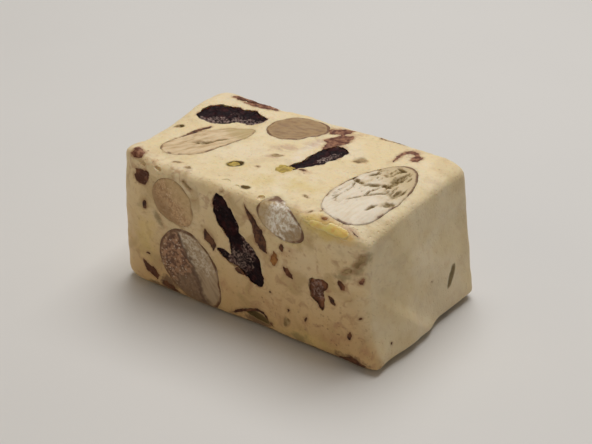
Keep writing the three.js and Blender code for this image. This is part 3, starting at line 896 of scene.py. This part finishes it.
class Value:
    """A number that changes over the surface. Maths on it adds Math nodes."""

    def __init__(self, finish, socket):
        self.finish, self.socket = finish, socket

    def math(self, operation, *others):
        inputs = dict(enumerate((self, *others)))
        return self.finish.node("ShaderNodeMath", {"operation": operation}, inputs)

    def __add__(self, other):
        return self.math("ADD", other)

    def __sub__(self, other):
        return self.math("SUBTRACT", other)

    def __rsub__(self, other):
        return self.math("MULTIPLY", -1) + other

    def __mul__(self, other):
        return self.math("MULTIPLY", other)

    def __truediv__(self, other):
        return self.math("DIVIDE", other)

    def __pow__(self, other):
        return self.math("POWER", other)

    __radd__ = __add__
    __rmul__ = __mul__

    def rise(self, start, end):
        """0 up to start, 1 from end, and a smooth rise between."""
        settings = {"interpolation_type": "SMOOTHSTEP"}
        inputs = {"Value": self, "From Min": start, "From Max": end}
        return self.finish.node("ShaderNodeMapRange", settings, inputs)

    def fall(self, start, end):
        return 1 - self.rise(start, end)


class Finish:
    """A material that is built node by node."""

    def __init__(self, name):
        self.material = bpy.data.materials.new(name)
        self.material.use_nodes = True
        self.tree = self.material.node_tree
        self.tree.nodes.clear()
        self.place = self.node("ShaderNodeTexCoord", output="Object")

    def node(self, kind, settings=None, inputs=None, output=0):
        """Adds a node: its settings first, then its sockets' values or links."""
        made = self.tree.nodes.new(kind)
        for name, value in (settings or {}).items():
            setattr(made, name, value)
        for name, value in (inputs or {}).items():
            if isinstance(value, Value):
                self.tree.links.new(value.socket, made.inputs[name])
            else:
                made.inputs[name].default_value = value
        return Value(self, made.outputs[output])

    def noise(self, grain, where=None, detail=3.0, distortion=0.0, roughness=0.5):
        """Soft noise from 0 to 1, with lumps about as large as the grain."""
        inputs = {
            "Vector": where or self.place,
            "Scale": 1 / grain,
            "Detail": detail,
            "Roughness": roughness,
            "Distortion": distortion,
        }
        return self.node("ShaderNodeTexNoise", {}, inputs)

    def dots(self, spacing, where=None):
        """Distance to the nearest of many scattered points, in cells."""
        inputs = {"Vector": where or self.place, "Scale": 1 / spacing}
        return self.node("ShaderNodeTexVoronoi", {}, inputs)

    def painted(self, name):
        """A number that was kept for each point of the piece."""
        return self.node("ShaderNodeAttribute", {"attribute_name": name}, output="Fac")

    def mix(self, share, first, second):
        """From the first colour to the second as share goes from 0 to 1."""
        inputs = {0: share}
        for socket, colour in ((6, first), (7, second)):
            inputs[socket] = (*colour, 1) if isinstance(colour, tuple) else colour
        return self.node("ShaderNodeMix", {"data_type": "RGBA"}, inputs, output=2)

    def moved(self, where=None, stretch=(1, 1, 1), location=(0, 0, 0), rotation=(0, 0, 0)):
        """The place as seen from a turned and stretched thing at that location."""
        inputs = {
            "Vector": where or self.place,
            "Location": location,
            "Rotation": rotation,
            "Scale": stretch,
        }
        return self.node("ShaderNodeMapping", {"vector_type": "TEXTURE"}, inputs)

    def split(self, vector):
        """The vector's x, y and z."""
        made = self.node("ShaderNodeSeparateXYZ", {}, {"Vector": vector}).socket.node
        return [Value(self, socket) for socket in made.outputs]

    def bump(self, height, distance):
        """Fine relief in the shading: height from 0 to 1 stands for this distance."""
        inputs = {"Height": height, "Distance": distance, "Strength": 1.0}
        return self.node("ShaderNodeBump", {}, inputs)

    def finished(self, colour, roughness, normal=None, **constants):
        """Closes the tree with a Principled surface. Constants go on its own sockets."""
        inputs = {"Base Color": colour, "Roughness": roughness}
        if normal:
            inputs["Normal"] = normal
        inputs.update({name.replace("_", " "): value for name, value in constants.items()})
        surface = self.node("ShaderNodeBsdfPrincipled", {}, inputs)
        out = self.tree.nodes.new("ShaderNodeOutputMaterial")
        self.tree.links.new(surface.socket, out.inputs["Surface"])
        return self.material


# %% [markdown]
# ## Nougat
# Whipped sugar and egg white is a warm cream, a little see-through, and paler where it is aerated.
# Oil from the nuts and juice from the berries stain it close by, so each point keeps its distance
# to them.

# %% Keep how near the nuts and berries are


def nearness(piece, others, reach):
    """1 at the others' surfaces, fading out over the reach."""
    points, faces = [], []
    for other in others:
        faces += [[len(points) + i for i in polygon.vertices] for polygon in other.data.polygons]
        points += [vertex.co for vertex in other.data.vertices]
    tree = BVHTree.FromPolygons(points, faces)
    nearest = np.array([tree.find_nearest(vertex.co)[3] for vertex in piece.data.vertices])
    return np.exp(-nearest / reach)


paint(block, "oil", nearness(block, nuts.values(), 0.8 * MM))
paint(block, "juice", nearness(block, [fruits[name] for name in BERRIES], 0.7 * MM))
paint(block, "hollow", nearness(block, bubbles[:len(HOLES)], 0.25 * MM))
paint(block, "halo", nearness(block, [bits[kind] for kind in BITS if kind != "zest"], 0.45 * MM))
discard(*pockets, nut_trim, berry_trim, bit_trim)

# %% List and keep the stains and the painted shade: face, then place, turn, length and width in mm
STAINS_AND_SHADE = spelled_out({
    "orange": [
        ("front", [(15.2, 24.4, 0, 6.4, 3.4), (18.6, 24.0, -6, 7.6, 4.6), (20.4, 23.4, -10, 4.6, 3.2)]),
        ("top", [(17.0, -15.0, 0, 9.0, 2.6)]),
        ("back", [(-12.2, 20.2, 160, 8, 4)]),
    ],
    "pale": [
        ("top", [(0.5, 4.4, 82, 12, 2.8), (1.0, 0.0, 60, 3.4, 2.4)]),
        ("back", [(4, 19, 60, 8, 3)]),
        ("bottom", [(-16, 8, 40, 8, 3)]),
    ],
    "yellow": [
        ("top", [
            (0.9, -9.3, 20, 8, 5), (-6.4, -7.5, 30, 5.0, 3.4), (7.0, -7.6, 0, 10, 6),
            (10.3, 4.7, 30, 4.6, 2.4), (1.5, -4.5, 25, 5, 3.6),
        ]),
        ("front", [(16.4, 23.4, 2, 11.5, 4.2)]),
        ("top", [(16.4, -14.8, 2, 10.5, 3.0)]),
        ("front", [(-20.5, 10.5, 78, 13, 6.5), (13.5, 2.2, 0, 13, 3.4), (10.8, 19.6, 10, 6, 3)]),
        ("back", [(-12.2, 20.2, 160, 8, 4), (16, 3.6, 0, 12, 5), (-22, 8, 80, 10, 5)]),
        ("left", [(-4, 10, 40, 12, 8)]),
        ("bottom", [(-2, 5, 10, 14, 8)]),
    ],
    "rust": [
        ("top", [(-18.6, 13.6, 6, 12, 3.6)]),
        # Among these, the patch at the lower left of the upper front almond and the one at the bottom right
        # corner are painted shade.
        ("front", [(9.8, 17.8, 0, 7, 5), (-16.6, 14.8, -55, 7, 3.4), (24.6, 3.0, 70, 6, 4)]),
        ("top", [
            (3.6, 11.4, 50, 8, 5.2), (0.4, 12.0, 14, 7, 4.0), (5.0, -3.4, 10, 4, 2.0),
            (-21.4, -13.6, 10, 6, 4.4),
        ]),
        ("front", [(-20.6, 22.0, 10, 6, 4.4)]),
        ("top", [
            (15.6, 13.0, 20, 5.5, 2.2), (-19.3, -14.6, 10, 5.0, 2.2), (-18.6, -1.6, 72, 7.0, 1.6),
        ]),
        # The patches low on this front darken its bottom as painted shade; the one high at the right is a
        # smear.
        ("front", [
            (23.4, 16.3, 30, 4.4, 2.4), (18.6, 4.4, 30, 13, 7), (6.0, 6.4, 10, 10, 6),
            (-17.4, 5.6, 40, 5, 4), (-3.4, 6.6, -60, 6, 3),
        ]),
        ("back", [(8, 12, 30, 12, 5), (-14, 3.4, 10, 12, 4)]),
        ("left", [(6, 3, 0, 10, 4)]),
        ("bottom", [(8, 6, 0, 12, 6)]),
    ],
    "olive": [
        ("front", [
            (23.4, 20.0, 50, 3.6, 2.4), (22.4, 18.2, 30, 4.0, 2.4), (20.2, 16.3, 10, 5.0, 2.6),
            (-5.6, 14.0, -60, 4.0, 2.6), (11.7, 1.6, 0, 6, 3.0), (-17.4, 15.0, -60, 5, 1.8),
        ]),
        ("top", [(10.1, 5.2, 10, 3.4, 2.2)]),
        ("back", [(23.0, 12.0, 40, 5, 3), (-8.0, 2.6, 0, 7, 3)]),
        ("left", [(-3, 6, 40, 5, 3)]),
        ("bottom", [(-4, -10, 20, 7, 3)]),
    ],
    "ashen": [
        ("top", [
            (-2.8, 1.6, 44, 8.0, 4.8), (0.4, 5.6, 70, 8.4, 3.4), (-2.4, -2.0, 10, 4.0, 2.6),
            (20.6, -13.4, 0, 5, 2.4), (16.0, 11.4, 60, 5, 4),
        ]),
        ("front", [(6.8, 21.0, -60, 6, 3), (23.2, 16.8, 18, 4.2, 2.4), (-5.8, 14.8, -60, 4.6, 2.6)]),
        ("right", [(7.2, 7.6, 54, 4.6, 1.8)]),
        ("back", [(0, 15, 40, 8, 3)]),
        ("left", [(5, 14, 60, 5, 2)]),
        ("bottom", [(14, -1, 20, 8, 3)]),
    ],
    # Dirt patches near the foot, and a band of painted shade along the bottom edge of every side.
    "dirt": [
        ("front", [
            (-16.0, 2.2, 20, 8, 4.4), (-17.0, 0.6, 0, 12, 3.4), (3.0, 1.6, 0, 8, 3.4),
            (22.0, 0.9, 0, 9, 4.0), (8.0, 0.3, 0, 60, 2.0),
        ]),
        ("right", [(8.0, 0.2, 0, 12, 2.4)]),
        ("back", [(4.0, 0.2, 0, 40, 2.2)]),
        ("left", [(0.0, 0.2, 0, 24, 2.2)]),
    ],
})

NO_STAIN = -1.0
STAIN_DEPTH = 2.5
surface = points_of(block)
for stain, patches in STAINS_AND_SHADE.items():
    strength = np.full(len(surface), NO_STAIN)
    for patch in patches:
        strength = np.maximum(strength, ellipse(surface, *patch, deep=STAIN_DEPTH))
    paint(block, stain, strength)
print("stains:", {stain: len(patches) for stain, patches in STAINS_AND_SHADE.items()})

# %% Finish the nougat
CREAM = (0.80, 0.640, 0.375)
PALE_CREAM = (0.83, 0.690, 0.455)
DEEP_CREAM = (0.68, 0.480, 0.235)


def stain_and_shade(f, colour, broad, close, fine):
    """Lays the painted shade of the front, darker towards the bottom, its smudges and flecks,
    every painted stain and the fine specks over the colour.
    """
    x, y, z = f.split(f.place)
    ragged = (close - 0.5) * 1.2 + (fine - 0.5) * 0.6
    faces_front = y.fall(-15 * MM, -13 * MM)
    # Painted shade: the front face is darker, and darker still towards the bottom.
    shaded = faces_front * 0.10 + z.fall(1 * MM, 24 * MM) * (faces_front * 0.70 + 0.12)
    colour = f.mix(shaded, colour, (0.60, 0.39, 0.17))
    smudged = f.noise(5 * MM, detail=3, distortion=0.6).rise(0.50, 0.68)
    colour = f.mix(smudged * (faces_front * 0.42 + 0.16), colour, (0.44, 0.29, 0.12))
    flecked = f.noise(2 * MM, detail=3, distortion=0.8).rise(0.54, 0.70)
    colour = f.mix(flecked * (faces_front * 0.5 + 0.12), colour, (0.45, 0.25, 0.13))

    streaky = f.noise(0.8 * MM, where=f.moved(stretch=(3, 1, 1.6)), detail=4)
    peel_juice = f.mix(broad.rise(0.4, 0.6), (0.80, 0.58, 0.15), (0.78, 0.47, 0.14))
    # Each stain, painted shade among them: how ragged its rim is, where it starts and is full, its strength
    # and its colour.
    for stain, raggedness, start, full, strength, tint in [
        ("yellow", 1.0, -0.2, 1.1, 0.62, (0.72, 0.55, 0.20)),
        ("pale", 0.6, 0.0, 1.0, 0.75, (0.84, 0.72, 0.57)),
        ("orange", 0.5, -0.1, 0.9, 0.85, peel_juice),
        # Rust: reddish smears, and in part painted shade low on the front and beside an almond.
        ("rust", 1.0, 0.0, 1.0, streaky.rise(0.35, 0.65) * 0.6, (0.50, 0.27, 0.13)),
        ("ashen", 1.0, 0.0, 0.9, streaky.rise(0.3, 0.6) * 0.65, (0.52, 0.34, 0.23)),
        ("olive", 1.0, 0.0, 0.8, 0.75, (0.27, 0.20, 0.085)),
        ("halo", 0.6, 0.3, 1.0, 0.75, (0.42, 0.235, 0.11)),
        ("oil", 0.9, 0.5, 1.3, 0.5, (0.50, 0.31, 0.14)),
        ("juice", 0.7, 0.5, 1.2, 0.8, (0.30, 0.085, 0.055)),
        # Dirt near the foot, and painted shade along the bottom edges.
        ("dirt", 1.0, 0.1, 0.6, 0.8, (0.13, 0.06, 0.028)),
        ("hollow", 0.0, 0.3, 0.9, 0.8, (0.27, 0.20, 0.085)),
    ]:
        covered = (f.painted(stain) + ragged * raggedness).rise(start, full)
        colour = f.mix(covered * strength, colour, tint)

    low_front = z.fall(2 * MM, 17 * MM) * x.rise(0, 20 * MM) * y.fall(-14 * MM, -13 * MM)
    both_ends = x.math("ABSOLUTE").fall(24 * MM, 26 * MM) * 0.2
    # Specks also crowd in the rust patches that are painted shade.
    in_rust_and_shade = (f.painted("rust") + ragged).rise(0, 0.7)
    crowded = low_front.math("MAXIMUM", both_ends).math("MAXIMUM", in_rust_and_shade)
    specks = f.dots(1.1 * MM).fall(0.12, 0.24) * f.noise(3.5 * MM).rise(0.36, 0.56)
    colour = f.mix(specks * crowded * 0.65, colour, (0.25, 0.115, 0.05))
    grit = f.dots(0.55 * MM, where=f.moved(rotation=(0.5, 0.3, 0.2))).fall(0.14, 0.3)
    grit = grit * close.rise(0.4, 0.6)
    return f.mix(grit * crowded * 0.5, colour, (0.34, 0.16, 0.07))


def nougat_finish(name, with_stains_and_shade):
    f = Finish(name)
    broad = f.noise(8 * MM, detail=2)
    close = f.noise(1.5 * MM, detail=4)
    fine = f.noise(0.45 * MM, detail=3)
    colour = f.mix(broad.rise(0.38, 0.66), CREAM, PALE_CREAM)
    colour = f.mix(close.rise(0.48, 0.75) * 0.30, colour, DEEP_CREAM)
    if with_stains_and_shade:
        colour = stain_and_shade(f, colour, broad, close, fine)
    drag = f.noise(0.5 * MM, where=f.moved(stretch=(6, 1, 1)), detail=3)
    pores = f.dots(0.8 * MM).rise(0.10, 0.24) * 0.5 + f.dots(0.45 * MM).rise(0.08, 0.2) * 0.25
    return f.finished(
        colour,
        close * 0.25 + 0.42,
        f.bump(fine * 0.5 + drag * 0.5 + pores, 0.12 * MM),
        Subsurface_Weight=0.2,
        Subsurface_Radius=(1.0, 0.6, 0.3),
        Subsurface_Scale=1.2 * MM,
    )


def dress(piece, material, slot, *nodes):
    """Gives the piece its finish, and hides the solids that it stands for, if any are given."""
    piece.data.materials.clear()
    piece.data.materials.append(material)
    pick(piece)
    bpy.ops.object.shade_smooth_by_angle(angle=math.radians(40))
    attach(piece, "root")
    if nodes:
        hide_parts(*nodes)


dress(block, nougat_finish("nougat", with_stains_and_shade=True), "nougat", "nougat")
dress(bits["nougat_curls"], nougat_finish("nougat_curls", with_stains_and_shade=False), "nougat")

# %% [markdown]
# ## Almond flesh and skin
# Every nut has its own finish, laid out in the nut's own half sizes: at a distance of 1 from its
# middle lies the thin brown skin, and inside it the kernel. Streaks run along the nut.

# %% Finish the almonds
KERNELS = {
    "cracked": ((0.80, 0.70, 0.55), (0.66, 0.52, 0.34)),
    "pale": ((0.71, 0.54, 0.33), (0.45, 0.29, 0.13)),
    "toasted": ((0.38, 0.24, 0.11), (0.25, 0.14, 0.06)),
    "dusted": ((0.92, 0.87, 0.79), (0.55, 0.42, 0.28)),
    "grainy": ((0.62, 0.41, 0.22), (0.40, 0.225, 0.10)),
    "split": ((0.44, 0.32, 0.20), (0.25, 0.165, 0.095)),
}
SKIN = (0.155, 0.066, 0.026)
# The brown of the cracks, stronger the deeper they go: partly the kernel's colour, partly painted shade.
CRACK_BROWN_AND_SHADE = (0.25, 0.165, 0.055)
# How much of the skin is left on a nut, from its worn places to its whole ones.
SKIN_LEFT = {
    "cracked": (0.2, 0.9),
    "pale": (0.0, 0.75),
    "toasted": (0.2, 0.9),
    "dusted": (0.1, 0.95),
    "grainy": (0.0, 0.35),
    "split": (0.5, 1.0),
}


def almond_finish(name, almond, look):
    f = Finish(name)
    where = almond_place(almond)
    spot = dict(location=where.to_translation(), rotation=where.to_euler())
    along = f.moved(**spot)
    right, up = f.split(f.moved(stretch=(MM, MM, MM), location=where.to_translation()))[::2]
    x, y, z = f.split(f.moved(stretch=Vector(almond["size"]) / 2 * MM, **spot))
    narrow = 1 - x * TAPER
    radius = (x ** 2 + (y / narrow) ** 2 + (z / narrow) ** 2) ** 0.5
    light, dark = KERNELS[look]
    flakes = f.noise(0.9 * MM, where=along, detail=4)
    fine = f.noise(0.35 * MM, where=along, detail=2)
    streaks = f.noise(0.6 * MM, where=f.moved(along, stretch=(6, 1, 1)), detail=3)
    patches = f.noise(3.2 * MM, where=along, detail=2, distortion=0.8)
    wavy = patches - 0.5

    if look in ("cracked", "pale", "toasted"):
        drawn = 0.4 if look == "cracked" else 0.7
        colour = f.mix(streaks.rise(0.42, 0.68) * drawn + patches.rise(0.5, 0.7) * 0.3, light, dark)
        if look == "cracked":
            creamy = (x - y * 0.4 + wavy * 1.2).rise(-0.3, 0.6)
            colour = f.mix(creamy * 0.9, colour, (0.62, 0.48, 0.28))
            chips = f.dots(0.9 * MM, where=along).fall(0.15, 0.4) * flakes.rise(0.46, 0.6) * creamy
            colour = f.mix(chips * 0.6, colour, (0.40, 0.28, 0.12))
        tip = (x + wavy * 0.6).rise(0.25, 0.7) * (0.7 if look == "pale" else 0.25)
        colour = f.mix(tip, colour, (0.46, 0.34, 0.14))
        # Cracks darken with their depth: partly their brown, partly painted shade.
        colour = f.mix(f.painted("crack").rise(0.12, 1.0) * 0.92, colour, CRACK_BROWN_AND_SHADE)
    elif look in ("dusted", "grainy"):
        colour = f.mix((flakes * 0.5 + fine * 0.5).rise(0.40, 0.62), light, dark)
        grains = f.dots(0.55 * MM, where=along).fall(0.22, 0.36) * patches.rise(0.4, 0.6)
        white = (0.95, 0.90, 0.84) if look == "dusted" else (0.80, 0.62, 0.44)
        colour = f.mix(grains * 0.8, colour, white)
        if look == "dusted":
            # Painted shade: browner towards the nut's lower right.
            shaded_below = (right * 0.18 - up * 0.24 + wavy * 1.4 + (flakes - 0.5) * 1.2).rise(-0.1, 0.5)
            colour = f.mix(shaded_below * 0.8, colour, (0.34, 0.22, 0.10))
            tipped = (right * -0.3 + wavy * 1.2).rise(0.3, 0.9)
            colour = f.mix(tipped * 0.8, colour, (0.50, 0.35, 0.16))
        else:
            # Painted shade: darker brown towards the nut's lower left.
            shaded_below = (right * -0.2 - up * 0.12 + wavy * 1.4).rise(0.0, 0.7)
            colour = f.mix(shaded_below * 0.75, colour, (0.32, 0.185, 0.075))
            merged = (right * 0.2 + up * 0.12 + wavy * 1.4).rise(-0.1, 0.6)
            colour = f.mix(merged * 0.75, colour, (0.60, 0.43, 0.22))
    else:
        beyond = y + x * SPLIT_SLANT - SPLIT_OFF + (flakes - 0.5) * 0.3 + wavy * 0.35
        facet = f.mix(streaks.rise(0.40, 0.66) * 0.5, light, dark)
        pale = (flakes * 0.6 + fine * 0.4).rise(0.44, 0.60) * (up * 0.18 + wavy * 1.6).rise(-0.2, 0.5)
        facet = f.mix(pale * 0.85, facet, (0.68, 0.59, 0.47))
        crumbs = f.mix(flakes.rise(0.40, 0.58), (0.40, 0.22, 0.12), (0.14, 0.062, 0.032))
        grains = f.dots(0.6 * MM, where=along).fall(0.25, 0.4) * fine.rise(0.45, 0.6)
        crumbs = f.mix(grains * 0.85, crumbs, (0.68, 0.55, 0.42))
        # Painted shade: the crumbs turn darker brown towards the lower end of the nut, which is also their
        # smoother end.
        smooth = (x + wavy * 0.8).rise(-0.25, 0.15)
        crumbs = f.mix(smooth * 0.8, crumbs, (0.22, 0.14, 0.08))
        colour = f.mix(beyond.fall(-0.03, 0.04), facet, crumbs)
        seam = beyond.math("ABSOLUTE").fall(0.02, 0.16)
        colour = f.mix(seam * 0.75, colour, (0.10, 0.048, 0.024))

    edge = radius + (flakes - 0.5) * 0.05
    kept = f.noise(2 * MM, where=f.moved(along, location=(3 * MM, 0, 0)), detail=3)
    colour = f.mix(edge.rise(0.88, 0.97) * kept.rise(0.3, 0.6) * 0.35, colour, (0.52, 0.34, 0.16))
    least, most = SKIN_LEFT[look]
    worn = kept.rise(0.40, 0.58) * (most - least) + least
    skin_from = 0.93 if look in ("split", "dusted") else 0.955
    skin = (edge + (kept - 0.5) * 0.08).rise(skin_from, 0.985)
    colour = f.mix(skin * worn, colour, SKIN)
    normal = f.bump(flakes * 0.5 + fine * 0.5, 0.08 * MM)
    return f.finished(
        colour,
        flakes * 0.2 + 0.5,
        normal,
        Subsurface_Weight=0.12,
        Subsurface_Radius=(1.0, 0.6, 0.35),
        Subsurface_Scale=0.8 * MM,
    )


for name, nut in nuts.items():
    finish = almond_finish(name, ALMONDS[name], LOOKS[name])
    dress(nut, finish, "almond", name)

# %% [markdown]
# ## Berry, peel and bits
# A dried cranberry is almost black with a red sheen where light gets through its skin. Its surface
# is sticky, and icing sugar clings to it in grains. Candied peel is glassy yellow to orange.

# %% Finish the fruit and the bits
RUDDY = ("cranberry_front_right", "cranberry_top_back", "cranberry_back_foot", "berry_scraps")


def berry_finish(name):
    """Near black, or ruddy where light gets through, with sugar where it is painted."""
    f = Finish(name)
    spread = f.noise(1.4 * MM, detail=3)
    wrinkle = f.noise(0.5 * MM, detail=3, distortion=0.6)
    dark, red = (0.010, 0.003, 0.0045), (0.040, 0.009, 0.010)
    if name in RUDDY:
        dark, red = (0.10, 0.040, 0.022), (0.25, 0.105, 0.052)
    colour = f.mix(spread.rise(0.45, 0.72), dark, red)
    colour = f.mix(wrinkle.rise(0.56, 0.72) * 0.4, colour, (0.075, 0.018, 0.016))
    sugared = f.noise(2.6 * MM, detail=3).rise(0.56, 0.66) * 0.6
    if name.startswith("cranberry"):
        patchy = f.painted("sugar") + (f.noise(1.3 * MM, detail=3) - 0.5) * 1.5
        sugared = sugared.math("MAXIMUM", patchy.rise(0.0, 0.45))
    crystals = f.noise(0.42 * MM, detail=3, roughness=0.7)
    sugar = (crystals + (sugared - 1) * 0.16).rise(0.40, 0.70) * sugared
    colour = f.mix(sugar * 0.85, colour, (0.42, 0.30, 0.26))
    normal = f.bump(wrinkle * 0.7 + crystals * 0.3, 0.2 * MM)
    return f.finished(colour, sugar * 0.2 + 0.5, normal, Specular_IOR_Level=0.08)


def flake_finish(name, light, dark, roughness=0.47):
    f = Finish(name)
    spread = f.noise(0.9 * MM, detail=4)
    fine = f.noise(0.3 * MM, detail=2)
    colour = f.mix(spread.rise(0.36, 0.66), dark, light)
    colour = f.mix(fine.rise(0.5, 0.7) * 0.4, colour, dark)
    normal = f.bump(fine, 0.08 * MM)
    return f.finished(colour, spread * 0.15 + roughness, normal, Specular_IOR_Level=0.2)


def peel_finish(name):
    f = Finish(name)
    spread = f.noise(1.6 * MM, detail=3)
    fine = f.noise(0.4 * MM, detail=2)
    colour = f.mix(spread.rise(0.42, 0.62), (0.94, 0.74, 0.24), (0.90, 0.57, 0.17))
    thick_end = f.split(f.place)[0].rise(17.5 * MM, 21 * MM)
    colour = f.mix(thick_end * 0.75, colour, (0.92, 0.50, 0.13))
    rim = (f.painted("rim") + (spread - 0.5) * 1.4).rise(0.1, 0.9)
    colour = f.mix(rim * 0.7, colour, (0.90, 0.70, 0.34))
    return f.finished(
        colour,
        fine * 0.2 + 0.3,
        f.bump(fine, 0.08 * MM),
        Subsurface_Weight=0.35,
        Subsurface_Radius=(1.0, 0.6, 0.2),
        Subsurface_Scale=1.2 * MM,
    )


for name, body in fruits.items():
    if name in BERRIES:
        dress(body, berry_finish(name), "cranberry", name)
    else:
        paint(body, "rim", nearness(body, [block], 0.25 * MM))
        dress(body, peel_finish(name), "peel", name)

dress(bits["berry_scraps"], berry_finish("berry_scraps"), "cranberry")
for kind, slot, light, dark, roughness in [
    ("skin_flakes", "almond", (0.17, 0.070, 0.030), (0.050, 0.018, 0.010), 0.47),
    ("nut_crumbs", "almond", (0.47, 0.34, 0.17), (0.26, 0.17, 0.075), 0.47),
    ("berry_smears", "cranberry", (0.37, 0.18, 0.10), (0.12, 0.038, 0.022), 0.47),
    ("toffee_crumbs", "peel", (0.42, 0.19, 0.05), (0.22, 0.085, 0.025), 0.47),
    ("zest", "peel", (0.60, 0.43, 0.09), (0.33, 0.22, 0.045), 0.32),
]:
    dress(bits[kind], flake_finish(kind, light, dark, roughness), slot)

# %% [markdown]
# ## Table, light and camera
# A pale table and two large soft lights, with the brighter one overhead, as in a small studio.
# The camera looks from the front right, at the photographed angle.

# %% Set the scene
bpy.ops.object.select_all(action="DESELECT")
bpy.ops.mesh.primitive_plane_add(size=3)
table = bpy.context.object
table.name = "table"
f = Finish("table")
mottled = f.mix(f.noise(50 * MM), (0.66, 0.64, 0.615), (0.69, 0.67, 0.645))
table.data.materials.append(f.finished(mottled, 0.6))


def seen_at(azimuth, elevation):
    """The direction from the piece to a thing that far round from the front and that high."""
    a, e = math.radians(azimuth), math.radians(elevation)
    return Vector((math.sin(a) * math.cos(e), -math.cos(a) * math.cos(e), math.sin(e)))


def soft_light(name, azimuth, elevation, distance, size, power, colour=(1, 1, 1)):
    away = seen_at(azimuth, elevation)
    data = bpy.data.lights.new(name, "AREA")
    data.size, data.energy, data.color = size, power, colour
    light = bpy.data.objects.new(name, data)
    bpy.context.scene.collection.objects.link(light)
    light.location = away * distance
    light.rotation_euler = away.to_track_quat("Z", "Y").to_euler()


CANDLE = (1, 0.80, 0.50)
SKY, SKY_STRENGTH = (1, 0.95, 0.87, 1), 0.187
soft_light("overhead", azimuth=192, elevation=70, distance=0.5, size=0.36, power=2.0)
soft_light("front_fill", azimuth=-20, elevation=25, distance=0.6, size=0.5, power=0.47, colour=CANDLE)

world = bpy.data.worlds.new("studio")
world.use_nodes = True
world.node_tree.nodes["Background"].inputs["Color"].default_value = SKY
world.node_tree.nodes["Background"].inputs["Strength"].default_value = SKY_STRENGTH
bpy.context.scene.world = world
bpy.context.scene.view_settings.view_transform = "Standard"

CAMERA_AZIMUTH, CAMERA_ELEVATION, CAMERA_ROLL = 36.3, 29.5, -1.0
CAMERA_DISTANCE = 255.7 * MM
LENS = 91.2
back = seen_at(CAMERA_AZIMUTH, CAMERA_ELEVATION)
camera = bpy.data.objects.new("camera", bpy.data.cameras.new("camera"))
bpy.context.scene.collection.objects.link(camera)
camera.data.lens = LENS
camera.data.clip_start = 0.01
camera.location = Vector((0, 0, HEIGHT / 2)) + back * CAMERA_DISTANCE
roll = Euler((0, 0, math.radians(CAMERA_ROLL))).to_matrix()
camera.rotation_euler = ((-back).to_track_quat("-Z", "Y").to_matrix() @ roll).to_euler()
bpy.context.scene.camera = camera
